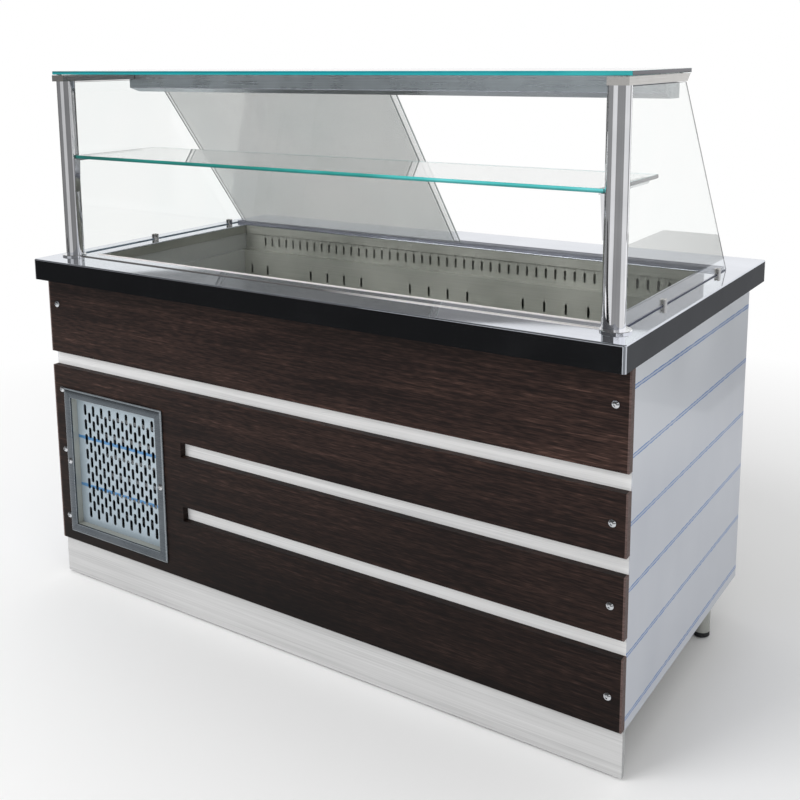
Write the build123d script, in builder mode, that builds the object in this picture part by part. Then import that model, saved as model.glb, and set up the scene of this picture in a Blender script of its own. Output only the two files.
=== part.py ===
from build123d import *
import math
import os

os.makedirs("parts", exist_ok=True)

# A refrigerated salad bar, in millimetres.
# X runs along the counter, Y from the serving front to the staff side, Z up from the floor.

# Worktop: one folded sheet with a downturned apron and an opening for the well
worktop_length = 1500
worktop_depth = 880
worktop_height = 830
worktop_sheet = 1.5
worktop_corner = 6
worktop_edge = 3
apron_height = 50
apron_return = 12
opening_end_margin = 95
opening_front_margin = 123
opening_rear_margin = 205
lip_height = 25
bead_width = 6
bead_height = 2
bead_round = 1.8

# Thin steel sheet of the well and the body
sheet = 1.2

# A cut runs past the faces it opens by this many times its own depth
overcut = 4

# Well walls, with a ledge all round that pans hang on
wall_setback = 5
wall_flange = 10
ledge_drop = 71
long_ledge = 24
end_ledge = 12
well_depth = 218
floor_rest = 15
floor_gap = 2
finger_hole = 30
finger_hole_inset = 120
air_slot_width = 6
air_slot_height = 24
air_slot_pitch = 25
air_slot_drop = 46
air_slot_margin = 48.5
return_slot_width = 6
return_slot_height = 26
return_slot_drop = 123
return_slot_offsets = (28, 85)
pan_modules = 4

# Tub round the well and its insulation
plenum_height = 90
tub_rear_gap = 20
tub_front_gap = 13
tub_end_gap = 4
tub_flange = 15
foam = 28

# Body
body_bottom = 97
body_inset = 2
front_overhang = 38
rear_overhang = 122
panel_flange = 12

# Front boards and panels
panel_thickness = 16
board_thickness = 16
panel_tuck = 18
upper_panel_drop = 188
panel_gap = 36
finger_height = 120
panel_lift = 3
solid_width = 427
plinth_set_back = 6
plinth_thickness = 10
plinth_floor_gap = 4

# Panel screws with chrome dome heads
screw_head = 16
screw_head_height = 5
screw_shank = 5
screw_length = 26
screw_clearance = 0.2
screw_inset = 28
top_screw_drop = 67
bottom_screw_rise = 64
screw_rim = 0.2
small_screw_head = 9
small_screw_head_height = 3

# Ventilation grille
grille_width = 335
grille_height = 376
grille_left_margin = 37
grille_bottom_margin = 26
grille_face = 22
grille_face_thickness = 5
grille_collar = 2
grille_collar_depth = 38
grille_clearance = 1
grille_recess = 16
grille_sheet_thickness = 1.5
grille_corner = 8
grille_bevel = 3
grille_slot_width = 9.5
grille_slot_height = 28
grille_slot_pitch = 29
grille_row_pitch = 38.5
grille_columns = 9
grille_rows = 8

# Base frame of angle bars, round legs and levelling feet
angle_size = 30
angle_wall = 3
leg_diameter = 38
leg_wall = 1.5
leg_plug = 20
leg_inset = 23
leg_front_gap = 1
rear_leg_inset = 131
foot_height = 12
foot_chamfer = 2
foot_stud = 10
foot_stud_length = 42
stud_clearance = 0.3

# Posts, arms and glass shelves
post_diameter = 42.4
post_wall = 1.5
post_end_inset = 55.5
post_shift = 4
post_front_inset = 83
post_height = 424
flange_diameter = 58
flange_thickness = 4
flange_edge = 1
arm_width = 40
arm_height = 14.5
arm_wall = 1.5
arm_length = 315
arm_slant = 17
glass_gap = 1.5
glass_pad = 12
top_glass_thickness = 8
top_glass_depth = 306
top_glass_front = 4
top_glass_overhang = 3.5
glass_edge = 1
shelf_height = 248
shelf_thickness = 8
shelf_depth = 262
shelf_end_gap = 1.8
shelf_front = 3
bracket_width = 16
bracket_reach = 4
bracket_drop = 81
rail_width = 12
rail_height = 4
rail_start = 4
rail_length = 205

# Side glass and its clamps
side_glass_thickness = 6
side_glass_offset = 8.5
side_glass_post_gap = 2
side_glass_bottom_gap = 5
side_glass_top_gap = 2
slant_foot_gap = 48
slant_head_gap = 18.5
clamp_length = 16
clamp_depth = 16
clamp_height = 13
clamp_clearance = 0.4
clamp_edge = 4
left_clamp_reach = 277
right_clamp_reach = 227
rear_clamp_inset = 68

# Sliding rear panes and their tracks
pane_thickness = 5
pane_spacing = 12
pane_setback = 14
pane_overlap = 36
pane_stagger = 25
pane_end_gap = 2
pane_floor_gap = 1
pane_top_gap = 8
pane_edge = 0.8
track_clearance = 0.8
track_wall = 2.5
track_height = 7
track_end_gap = 4
top_track_height = 24
top_track_inset = 16

# Light housing under the arms, with a lamp in it
housing_depth = 75
housing_front_height = 21.5
housing_height = 32
housing_slope = 31
housing_end_gap = 2.5
housing_arm_gap = 1
lamp_window = 30
lamp_window_end = 40
lamp_diameter = 16
lamp_rise = 3
lamp_cap = 18
lamp_cap_length = 25

# Evaporator with a tangential fan in the plenum
coil_length = 900
coil_depth = 250
coil_height = 68
coil_front_inset = 140
coil_plate = 3
coil_plate_height = 76
coil_fins = 61
coil_rows = 2
fin_thickness = 1
fin_tube = 9
rotor_diameter = 58
rotor_blade = 7
rotor_blade_thickness = 1.5
rotor_blades = 18
rotor_disc = 2
rotor_shaft = 8
rotor_rise = 40
rotor_gap = 26
rotor_end_gap = 6
shaft_clearance = 0.3

# Drain under the well
drain_end_inset = 70
drain_front_inset = 90
drain_pipe = 25
drain_flange = 44
drain_flange_thickness = 2
drain_clearance = 0.3
drain_drop = 38
valve_diameter = 40
valve_height = 52
valve_outlet = 22
valve_stem = 10
valve_stem_length = 12
lever_thickness = 4
lever_width = 14
lever_length = 96
lever_clearance = 0.3

# Unit compartment behind the grille
unit_width = 390
condenser_width = 300
condenser_height = 300
condenser_depth = 48
condenser_gap = 14
condenser_rise = 22
condenser_plate = 2
condenser_fins = 21
bend_rows = 6
bend_radius = 12
shroud_depth = 40
shroud_wall = 1.5
shroud_hole = 250
fan_diameter = 230
fan_hub = 64
fan_hub_length = 34
fan_blades = 5
fan_blade_width = 58
fan_blade_thickness = 2.5
fan_blade_pitch = 26
fan_shaft = 10
fan_shaft_length = 40
motor_diameter = 92
motor_length = 70
motor_round = 7
motor_gap = 24
motor_bore_depth = 18
motor_stand = 60
motor_stand_thickness = 4
motor_foot = 40
compressor_diameter = 156
compressor_height = 200
compressor_dome = 46
compressor_wall = 16
compressor_base = 4
compressor_base_size = 190
compressor_foot = 26
compressor_foot_height = 16
compressor_rear_inset = 170
terminal_box = (60, 40, 70)
pipe_diameter = 12
pipe_bend = 21
pipe_foam_gap = 24
pipe_root = 40
pipe_clearance = 0.5
pipe_rise = 60
pipe_entry = 24
suction_pipe_inset = 95
liquid_pipe_inset = 50
suction_pipe_back = 120
liquid_pipe_back = 60

# Rear panels and doors
rear_panel_drop = 6
rear_flange = 20
door_thickness = 20
door_gap = 3
door_side_gap = 5
door_grip = 20
door_grip_lip = 12
door_return = 15
hinge_plate = 2
hinge_plate_size = 24
hinge_lift = 1
hinge_pin = 8
hinge_pin_length = 11
hinge_inset = 13
hinge_block = 24
pin_clearance = 0.3
partition_flange = 20
control_height = 104
panel_joint = 3
vent_slot_length = 130
vent_column_pitch = 156
vent_slot_height = 6
vent_slot_pitch = 18
vent_rows = 9
vent_columns = 2

# Controls on the staff side
thermostat_from_side = 130
bezel_width = 78
bezel_height = 36
bezel_thickness = 5
controller_width = 71
controller_height = 29
controller_depth = 55
display_width = 40
display_height = 18
display_depth = 1
display_offset = 15
button_size = 9
button_offset = 22
button_spread = 13
button_proud = 1.4
button_edge = 0.4
button_hole_depth = 8
button_length = 6
button_clearance = 0.3
switch_from_partition = (150, 90)
switch_width = 30
switch_height = 42
switch_frame_thickness = 3
switch_body_depth = 24
switch_wall = 2
rocker_width = 17
rocker_height = 24
rocker_depth = 6
rocker_rise = 5
rocker_dip = 3
rocker_heel = 5
rocker_clearance = 1.2
rocker_pocket = 14
rocker_tilt = 8
rocker_pin = 3
rocker_pin_length = 1
rocker_pin_clearance = 0.3
cutout_clearance = 0.3

# Worked-out places
half_length = worktop_length / 2
front_y = -worktop_depth / 2
rear_y = worktop_depth / 2
top_z = worktop_height
worktop_under = top_z - worktop_sheet
apron_bottom = top_z - apron_height

opening_x = half_length - opening_end_margin
opening_front = front_y + opening_front_margin
opening_rear = rear_y - opening_rear_margin
lip_bottom = top_z - lip_height

upper_x = opening_x + wall_setback
upper_front = opening_front - wall_setback
upper_rear = opening_rear + wall_setback
lower_x = upper_x - end_ledge
lower_front = upper_front + long_ledge
lower_rear = upper_rear - long_ledge
ledge_z = top_z - ledge_drop
floor_z = top_z - well_depth
tub_floor = floor_z - plenum_height
tub_x = upper_x + sheet + tub_end_gap
tub_front = upper_front - sheet - tub_front_gap
tub_rear = upper_rear + sheet + tub_rear_gap
foam_bottom = tub_floor - sheet - foam

side_outer = half_length - body_inset
side_inner = side_outer - sheet
panel_front = front_y + front_overhang
panel_back = panel_front + panel_thickness
board_back = panel_back + board_thickness
body_rear = rear_y - rear_overhang
panel_x = side_outer

upper_panel_bottom = apron_bottom - upper_panel_drop
lower_panel_top = upper_panel_bottom - panel_gap
first_slot_top = lower_panel_top - finger_height
second_slot_top = first_slot_top - panel_gap - finger_height
lower_panel_bottom = body_bottom + panel_lift
slot_start = -panel_x + solid_width

grille_x = -panel_x + grille_left_margin + grille_width / 2
grille_z = lower_panel_bottom + grille_bottom_margin + grille_height / 2
grille_inner_width = grille_width - 2 * grille_face
grille_inner_height = grille_height - 2 * grille_face
grille_hole_width = grille_inner_width + 2 * grille_collar + grille_clearance
grille_hole_height = grille_inner_height + 2 * grille_collar + grille_clearance

screw_x = panel_x - screw_inset
upper_screw_z = apron_bottom - top_screw_drop
lower_screw_z = [
    lower_panel_top - finger_height / 2,
    first_slot_top - panel_gap - finger_height / 2,
    lower_panel_bottom + bottom_screw_rise,
]

frame_x = side_inner - panel_flange
frame_front = board_back
frame_rear = body_rear - sheet
frame_top = body_bottom + angle_size
floor_top = frame_top + sheet
floor_rear = frame_rear - angle_size
leg_x = frame_x - leg_inset
leg_places = [
    (frame_front + leg_diameter / 2 + leg_front_gap, "front"),
    (body_rear - rear_leg_inset, "rear"),
]

post_x = half_length - post_end_inset
arm_x = post_x + post_shift
post_y = front_y + post_front_inset
post_top = top_z + post_height
arm_top = post_top + arm_height
arm_front = post_y - arm_width / 2
top_glass_bottom = arm_top + glass_gap
top_glass_top = top_glass_bottom + top_glass_thickness
top_glass_x = arm_x + arm_width / 2 + top_glass_overhang
top_glass_y = arm_front + top_glass_front
shelf_x = post_x - post_diameter / 2 - shelf_end_gap
shelf_y = post_y - shelf_front
shelf_top = top_z + shelf_height
shelf_bottom = shelf_top - shelf_thickness

slant_foot = opening_rear + slant_foot_gap
slant_head = arm_front + arm_length + slant_head_gap
lean = math.atan2(slant_foot - slant_head, post_height)
side_glass_x = post_x + side_glass_offset
side_glass_inner = side_glass_x - side_glass_thickness / 2
side_glass_low = top_z + side_glass_bottom_gap
side_glass_high = post_top - side_glass_top_gap
pane_foot = slant_foot - pane_setback / math.cos(lean)
pane_span = side_glass_inner - track_end_gap
pane_width = pane_span + pane_overlap / 2
pane_left = -pane_span + pane_end_gap
housing_bottom = post_top - housing_height
housing_x = side_glass_inner - housing_end_gap
housing_upper_x = arm_x - arm_width / 2 - housing_arm_gap


def slant_y(foot, z):
    return foot - (z - top_z) * math.tan(lean)


# The panes lean back towards their foot: x along the counter, y up the pane, z towards the front
pane_plane = Plane(
    origin=(0, pane_foot, top_z),
    x_dir=(1, 0, 0),
    z_dir=(0, -math.cos(lean), -math.sin(lean)),
)
groove_width = pane_thickness + 2 * track_clearance
groove_half = (pane_spacing / 2 + groove_width / 2) / math.cos(lean)
top_track_bottom = post_top - top_track_height
groove_top = post_top - track_wall
bottom_track_span = (
    slant_y(pane_foot, top_z + track_height) - groove_half - track_wall,
    pane_foot + groove_half + track_wall,
)
top_track_span = (
    slant_y(pane_foot, groove_top) - groove_half - track_wall,
    slant_y(pane_foot, top_track_bottom) + groove_half + track_wall,
)
housing_rear = top_track_span[0]
housing_front = housing_rear - housing_depth

coil_front = tub_front + coil_front_inset
coil_rear = coil_front + coil_depth
rotor_y = coil_rear + rotor_gap + rotor_diameter / 2
rotor_z = tub_floor + rotor_rise
drain_x = tub_x - drain_end_inset
drain_y = tub_front + drain_front_inset
valve_top = foam_bottom - drain_drop
valve_bottom = valve_top - valve_height
valve_z = valve_top - valve_height / 2
lever_x = drain_x + valve_diameter / 2 + valve_stem_length - lever_thickness

partition_x = -side_inner + unit_width
condenser_front = panel_front + grille_collar_depth + condenser_gap
condenser_rear = condenser_front + condenser_depth
condenser_bottom = floor_top + condenser_rise
condenser_z = condenser_bottom + condenser_height / 2
fan_y = condenser_rear + shroud_depth
motor_front = fan_y + fan_hub_length / 2 + motor_gap
compressor_y = floor_rear - compressor_rear_inset
pipe_end = tub_floor + pipe_entry
suction_pipe_x = -coil_length / 2 - suction_pipe_inset
liquid_pipe_x = -coil_length / 2 - liquid_pipe_inset
suction_pipe_y = coil_front + suction_pipe_back
liquid_pipe_y = coil_front + liquid_pipe_back

rear_panel_bottom = foam_bottom - rear_panel_drop
door_bottom = frame_top + hinge_plate + hinge_lift
door_top = rear_panel_bottom - hinge_plate - hinge_lift
door_left = partition_x + door_gap
door_right = side_inner - door_side_gap
door_width = (door_right - door_left - door_gap) / 2
door_front = body_rear - door_thickness
hinge_y = body_rear - door_thickness / 2
partition_rear = door_front - door_gap / 2
control_bottom = door_top - control_height
service_top = control_bottom - panel_joint
panel_right = partition_x - panel_joint
thermostat_x = -side_inner + thermostat_from_side
control_z = (control_bottom + rear_panel_bottom) / 2
bezel_front = body_rear + bezel_thickness
rocker_y = body_rear + switch_frame_thickness - rocker_dip
compressor_x = suction_pipe_x
compressor_top = floor_top + compressor_foot_height + compressor_base + compressor_height
condenser_y = (condenser_front + condenser_rear) / 2
condenser_top = condenser_bottom + condenser_height


def span(a, b):
    return (min(a, b), max(a, b))


def block(x_span, y_span, z_span, mode=Mode.ADD):
    spans = (x_span, y_span, z_span)
    with Locations(tuple(sum(ends) / 2 for ends in spans)):
        Box(*[ends[1] - ends[0] for ends in spans], mode=mode)


def both(reach):
    return (-reach, reach)


def save(piece, name):
    piece.part.label = name
    export_step(piece.part, f"parts/{name}.step")


# Worktop
with BuildPart() as worktop:
    with BuildSketch(Plane.XY.offset(apron_bottom)):
        RectangleRounded(worktop_length, worktop_depth, worktop_corner)
    extrude(amount=apron_height)
    fillet(worktop.faces().sort_by(Axis.Z)[-1].edges(), worktop_edge)
    with BuildSketch(Plane.XY.offset(apron_bottom + worktop_sheet)):
        RectangleRounded(
            worktop_length - 2 * worktop_sheet,
            worktop_depth - 2 * worktop_sheet,
            worktop_corner - worktop_sheet,
        )
    extrude(amount=apron_height - 2 * worktop_sheet, mode=Mode.SUBTRACT)
    # Only the long aprons are turned in at the bottom; the end panels tuck up inside the short ones
    block(
        both(half_length - worktop_sheet),
        both(rear_y - worktop_sheet - apron_return),
        (apron_bottom, apron_bottom + worktop_sheet),
        mode=Mode.SUBTRACT,
    )
    block(
        both(opening_x + worktop_sheet),
        (opening_front - worktop_sheet, opening_rear + worktop_sheet),
        (lip_bottom, worktop_under),
    )
    block(both(opening_x), (opening_front, opening_rear), (lip_bottom, top_z), mode=Mode.SUBTRACT)
    # Low pressed bead along the front, from flange to flange
    with Locations((0, post_y, top_z)):
        Box(
            2 * (arm_x - flange_diameter / 2),
            bead_width,
            bead_height,
            align=(Align.CENTER, Align.CENTER, Align.MIN),
        )
    fillet(worktop.edges().filter_by(Axis.X).group_by(Axis.Z)[-1], bead_round)
save(worktop, "worktop")


# Well walls
def air_panel(name, wall_y, outward):
    lower_y = wall_y - outward * long_ledge
    with BuildPart() as panel:
        block(both(upper_x), span(wall_y, wall_y + outward * sheet), (ledge_z, worktop_under))
        block(
            both(upper_x),
            span(wall_y, wall_y + outward * wall_flange),
            (worktop_under - sheet, worktop_under),
        )
        block(both(upper_x), span(lower_y, wall_y + outward * sheet), (ledge_z - sheet, ledge_z))
        block(both(lower_x), span(lower_y, lower_y + outward * sheet), (floor_z - 2 * sheet, ledge_z))
        block(
            both(lower_x),
            span(lower_y - outward * floor_rest, lower_y + outward * sheet),
            (floor_z - 2 * sheet, floor_z - sheet),
        )
        slot_count = int((2 * upper_x - 2 * air_slot_margin) // air_slot_pitch)
        with BuildSketch(Plane.XZ.offset(-wall_y)):
            with Locations((0, top_z - air_slot_drop)):
                with GridLocations(air_slot_pitch, 1, slot_count, 1):
                    SlotOverall(air_slot_height, air_slot_width, rotation=90)
        extrude(amount=2 * sheet, both=True, mode=Mode.SUBTRACT)
        module = 2 * lower_x / pan_modules
        with BuildSketch(Plane.XZ.offset(-lower_y)):
            for offset_x in return_slot_offsets:
                with Locations((0, top_z - return_slot_drop)):
                    with GridLocations(module, 1, pan_modules, 1):
                        with Locations((module / 2 - offset_x, 0), (offset_x - module / 2, 0)):
                            SlotOverall(return_slot_height, return_slot_width, rotation=90)
        extrude(amount=2 * sheet, both=True, mode=Mode.SUBTRACT)
    save(panel, name)


air_panel("rear_air_panel", upper_rear, 1)
air_panel("front_air_panel", upper_front, -1)

for side, side_name in ((-1, "left"), (1, "right")):
    with BuildPart() as well_wall:
        upper_sheet = span(side * upper_x, side * (upper_x + sheet))
        lower_sheet = span(side * lower_x, side * (lower_x + sheet))
        ledge = span(side * lower_x, side * (upper_x + sheet))
        block(upper_sheet, (upper_front, upper_rear), (ledge_z - sheet, worktop_under))
        block(ledge, (lower_front, lower_rear), (ledge_z - sheet, ledge_z))
        block(lower_sheet, (lower_front, lower_rear), (floor_z - 2 * sheet, ledge_z))
    save(well_wall, f"{side_name}_well_wall")

with BuildPart() as well_floor:
    block(
        both(lower_x - floor_gap),
        (lower_front + floor_gap, lower_rear - floor_gap),
        (floor_z - sheet, floor_z),
    )
    with Locations((0, (lower_front + lower_rear) / 2, floor_z)):
        with GridLocations(2 * (lower_x - finger_hole_inset), 1, 2, 1):
            Hole(finger_hole / 2)
save(well_floor, "well_floor")

# Tub round the well, with holes for the drain and the two refrigerant pipes
pipe_places = [(suction_pipe_x, suction_pipe_y), (liquid_pipe_x, liquid_pipe_y)]
with BuildPart() as well_tub:
    block(both(tub_x + sheet), (tub_front - sheet, tub_rear + sheet), (tub_floor - sheet, worktop_under))
    block(
        both(tub_x + tub_flange),
        (tub_front - tub_flange, tub_rear + tub_flange),
        (worktop_under - sheet, worktop_under),
    )
    block(both(tub_x), (tub_front, tub_rear), (tub_floor, worktop_under), mode=Mode.SUBTRACT)
    with Locations((drain_x, drain_y, tub_floor)):
        Hole(drain_pipe / 2 + drain_clearance)
    for place in pipe_places:
        with Locations((*place, tub_floor)):
            Hole(pipe_diameter / 2 + pipe_clearance)
save(well_tub, "well_tub")

with BuildPart() as well_insulation:
    block(
        both(tub_x + sheet + foam),
        (tub_front - sheet - foam, tub_rear + sheet + foam),
        (foam_bottom, worktop_under - sheet),
    )
    block(
        both(tub_x + sheet),
        (tub_front - sheet, tub_rear + sheet),
        (tub_floor - sheet, worktop_under - sheet),
        mode=Mode.SUBTRACT,
    )
    with Locations((drain_x, drain_y, tub_floor)):
        Hole(drain_pipe / 2 + drain_clearance)
    for place in pipe_places:
        with Locations((*place, tub_floor)):
            Hole(pipe_diameter / 2 + pipe_clearance)
save(well_insulation, "well_insulation")

# Evaporator: finned core between two plates that also hold the fan's shaft
with BuildPart() as evaporator_coil:
    with BuildSketch(Plane.XZ.offset(-coil_front)):
        with Locations((0, tub_floor + coil_height / 2)):
            fin_pitch = (coil_length - fin_thickness) / (coil_fins - 1)
            with GridLocations(fin_pitch, 1, coil_fins, 1):
                Rectangle(fin_thickness, coil_height)
            with GridLocations(1, coil_height / coil_rows, 1, coil_rows):
                Rectangle(coil_length, fin_tube)
    extrude(amount=-coil_depth)
    for side in (-1, 1):
        plate = span(side * coil_length / 2, side * (coil_length / 2 + coil_plate))
        plate_rear = rotor_y + rotor_diameter / 2 + rotor_gap
        block(plate, (coil_front, plate_rear), (tub_floor, tub_floor + coil_plate_height))
    with Locations(Location((0, rotor_y, rotor_z), (0, 90, 0))):
        Cylinder(rotor_shaft / 2 + shaft_clearance, coil_length + overcut * coil_plate, mode=Mode.SUBTRACT)
save(evaporator_coil, "evaporator_coil")

rotor_length = coil_length - 2 * rotor_end_gap
rotor_plane = Plane(origin=(0, rotor_y, rotor_z), x_dir=(0, 1, 0), z_dir=(1, 0, 0))
with BuildPart(rotor_plane) as evaporator_fan:
    Cylinder(rotor_shaft / 2, coil_length + 2 * coil_plate)
    with Locations((0, 0, -rotor_length / 2), (0, 0, 0), (0, 0, rotor_length / 2)):
        Cylinder(rotor_diameter / 2, rotor_disc)
    with PolarLocations((rotor_diameter - rotor_blade) / 2, rotor_blades):
        Box(rotor_blade, rotor_blade_thickness, rotor_length)
save(evaporator_fan, "evaporator_fan")

# Drain: a flanged pipe through the tub with a ball valve and its lever
with BuildPart() as drain_valve:
    with Locations((drain_x, drain_y, tub_floor)):
        Cylinder(drain_flange / 2, drain_flange_thickness, align=(Align.CENTER, Align.CENTER, Align.MIN))
    with Locations((drain_x, drain_y, valve_top)):
        Cylinder(drain_pipe / 2, tub_floor - valve_top, align=(Align.CENTER, Align.CENTER, Align.MIN))
        Cylinder(valve_diameter / 2, valve_height, align=(Align.CENTER, Align.CENTER, Align.MAX))
    with Locations((drain_x, drain_y, valve_bottom)):
        Cylinder(drain_pipe / 2, valve_outlet, align=(Align.CENTER, Align.CENTER, Align.MAX))
    with Locations(Location((drain_x, drain_y, valve_z), (0, 90, 0))):
        Cylinder(
            valve_stem / 2,
            valve_diameter / 2 + valve_stem_length,
            align=(Align.CENTER, Align.CENTER, Align.MIN),
        )
    with Locations((drain_x, drain_y, tub_floor + drain_flange_thickness)):
        Cylinder(
            drain_pipe / 2 - leg_wall,
            tub_floor + drain_flange_thickness - valve_top,
            align=(Align.CENTER, Align.CENTER, Align.MAX),
            mode=Mode.SUBTRACT,
        )
save(drain_valve, "drain_valve")

with BuildPart() as drain_lever:
    with BuildSketch(Plane.YZ.offset(lever_x)):
        with Locations((drain_y + lever_length / 2 - lever_width / 2, valve_z)):
            SlotOverall(lever_length, lever_width)
        with Locations((drain_y, valve_z)):
            Circle(valve_stem / 2 + lever_clearance, mode=Mode.SUBTRACT)
    extrude(amount=lever_thickness)
save(drain_lever, "drain_lever")

# Base frame: a ring of angle bars, four uprights of the same angle and four round legs
with BuildPart() as base_frame:
    ring = (body_bottom, frame_top)
    shelf = (frame_top - angle_wall, frame_top)
    for side in (-1, 1):
        block(span(side * (frame_x - angle_wall), side * frame_x), (frame_front, frame_rear), ring)
        block(span(side * (frame_x - angle_size), side * frame_x), (frame_front, frame_rear), shelf)
        for corner_y, inward in ((frame_front, 1), (floor_rear, -1)):
            block(
                span(side * (frame_x - angle_wall), side * frame_x),
                span(corner_y, corner_y + inward * angle_size),
                (frame_top, worktop_under),
            )
            block(
                span(side * (frame_x - angle_size), side * frame_x),
                span(corner_y, corner_y + inward * angle_wall),
                (frame_top, worktop_under),
            )
        for leg_y, leg_name in leg_places:
            with Locations((side * leg_x, leg_y, foot_height)):
                Cylinder(
                    leg_diameter / 2,
                    frame_top - angle_wall - foot_height,
                    align=(Align.CENTER, Align.CENTER, Align.MIN),
                )
    block(both(frame_x), (frame_front, frame_front + angle_wall), ring)
    block(both(frame_x), (frame_front, frame_front + angle_size), shelf)
    block(both(frame_x), (frame_rear - angle_wall, frame_rear), ring)
    block(both(frame_x), (frame_rear - angle_size, frame_rear), shelf)
    for side in (-1, 1):
        for leg_y, leg_name in leg_places:
            with Locations((side * leg_x, leg_y, foot_height + leg_plug)):
                Cylinder(
                    leg_diameter / 2 - leg_wall,
                    frame_top - angle_wall - foot_height - leg_plug,
                    align=(Align.CENTER, Align.CENTER, Align.MIN),
                    mode=Mode.SUBTRACT,
                )
            with Locations((side * leg_x, leg_y, foot_height)):
                Cylinder(
                    foot_stud / 2 + stud_clearance,
                    leg_plug,
                    align=(Align.CENTER, Align.CENTER, Align.MIN),
                    mode=Mode.SUBTRACT,
                )
save(base_frame, "base_frame")

for side, side_name in ((-1, "left"), (1, "right")):
    for leg_y, leg_name in leg_places:
        with BuildPart() as foot:
            with Locations((side * leg_x, leg_y, 0)):
                Cylinder(leg_diameter / 2, foot_height, align=(Align.CENTER, Align.CENTER, Align.MIN))
            chamfer(foot.edges().group_by(Axis.Z)[0], foot_chamfer)
            with Locations((side * leg_x, leg_y, foot_height)):
                Cylinder(foot_stud / 2, foot_stud_length, align=(Align.CENTER, Align.CENTER, Align.MIN))
        save(foot, f"{leg_name}_{side_name}_foot")

with BuildPart() as base_floor:
    block(both(frame_x), (frame_front, floor_rear), (frame_top, floor_top))
    corner_y = (frame_front + floor_rear) / 2
    with Locations((0, corner_y, frame_top)):
        with GridLocations(2 * frame_x - angle_size, floor_rear - frame_front - angle_size, 2, 2):
            Box(angle_size, angle_size, overcut * sheet, mode=Mode.SUBTRACT)
save(base_floor, "base_floor")

with BuildPart() as partition:
    block((partition_x - sheet, partition_x), (board_back, partition_rear), (floor_top, foam_bottom))
    block(
        (partition_x - partition_flange, partition_x),
        (partition_rear - sheet, partition_rear),
        (floor_top, foam_bottom),
    )
save(partition, "partition")

# Front: pale backing board, dark panels, plinth
panel_screw_places = [(side * screw_x, z) for side in (-1, 1) for z in [upper_screw_z] + lower_screw_z]
with BuildPart() as backing_board:
    with BuildSketch(Plane.XZ.offset(-panel_back)):
        with Locations((0, (body_bottom + worktop_under) / 2)):
            Rectangle(2 * side_inner, worktop_under - body_bottom)
        with Locations((grille_x, grille_z)):
            Rectangle(grille_hole_width, grille_hole_height, mode=Mode.SUBTRACT)
        with Locations(*panel_screw_places):
            Circle(screw_shank / 2 + screw_clearance, mode=Mode.SUBTRACT)
    extrude(amount=-board_thickness)
save(backing_board, "backing_board")

with BuildPart() as upper_front_panel:
    with BuildSketch(Plane.XZ.offset(-panel_front)):
        panel_top = apron_bottom + panel_tuck
        with Locations((0, (upper_panel_bottom + panel_top) / 2)):
            Rectangle(2 * panel_x, panel_top - upper_panel_bottom)
        with Locations((-screw_x, upper_screw_z), (screw_x, upper_screw_z)):
            Circle(screw_shank / 2 + screw_clearance, mode=Mode.SUBTRACT)
    extrude(amount=-panel_thickness)
save(upper_front_panel, "upper_front_panel")

with BuildPart() as lower_front_panel:
    with BuildSketch(Plane.XZ.offset(-panel_front)):
        with Locations((0, (lower_panel_bottom + lower_panel_top) / 2)):
            Rectangle(2 * panel_x, lower_panel_top - lower_panel_bottom)
        for slot_top in (first_slot_top, second_slot_top):
            with Locations(((slot_start + panel_x) / 2, slot_top - panel_gap / 2)):
                Rectangle(panel_x - slot_start, panel_gap, mode=Mode.SUBTRACT)
        with Locations((grille_x, grille_z)):
            Rectangle(grille_hole_width, grille_hole_height, mode=Mode.SUBTRACT)
        with Locations(*[(side * screw_x, z) for side in (-1, 1) for z in lower_screw_z]):
            Circle(screw_shank / 2 + screw_clearance, mode=Mode.SUBTRACT)
    extrude(amount=-panel_thickness)
save(lower_front_panel, "lower_front_panel")

with BuildPart() as plinth_board:
    plinth_front = panel_back - plinth_set_back
    block(both(side_outer), (plinth_front, plinth_front + plinth_thickness), (plinth_floor_gap, body_bottom))
save(plinth_board, "plinth_board")

# Screws: dome heads on the panels, smaller ones in the middle of the grille frame's sides
small_screw_x = (grille_width - grille_face) / 2
small_screw_places = [(grille_x + side * small_screw_x, grille_z) for side in (-1, 1)]
screws = [(x, z, panel_front, screw_head / 2, screw_head_height) for x, z in panel_screw_places]
frame_face = panel_front - grille_face_thickness
screws += [(x, z, frame_face, small_screw_head / 2, small_screw_head_height) for x, z in small_screw_places]
with BuildPart() as front_screws:
    for x, z, face_y, radius, height in screws:
        # Half outline of a dome head, part of a sphere on a short rim, turned about the screw's own axis
        rim = height * screw_rim
        dome = (radius**2 + (height - rim) ** 2) / 2 / (height - rim)
        half_angle = math.asin(radius / dome) / 2
        crown = (dome * math.sin(half_angle), dome * (1 - math.cos(half_angle)) - height)
        with BuildSketch(Plane(origin=(x, face_y, z), x_dir=(1, 0, 0), z_dir=(0, 0, 1))):
            with BuildLine():
                Polyline((0, -height), (0, 0), (radius, 0), (radius, -rim))
                ThreePointArc((radius, -rim), crown, (0, -height))
            make_face()
        revolve(axis=Axis((x, face_y, z), (0, 1, 0)))
    with BuildSketch(Plane.XZ.offset(-panel_front)):
        with Locations(*panel_screw_places):
            Circle(screw_shank / 2)
    extrude(amount=-screw_length)
save(front_screws, "front_screws")

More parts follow.
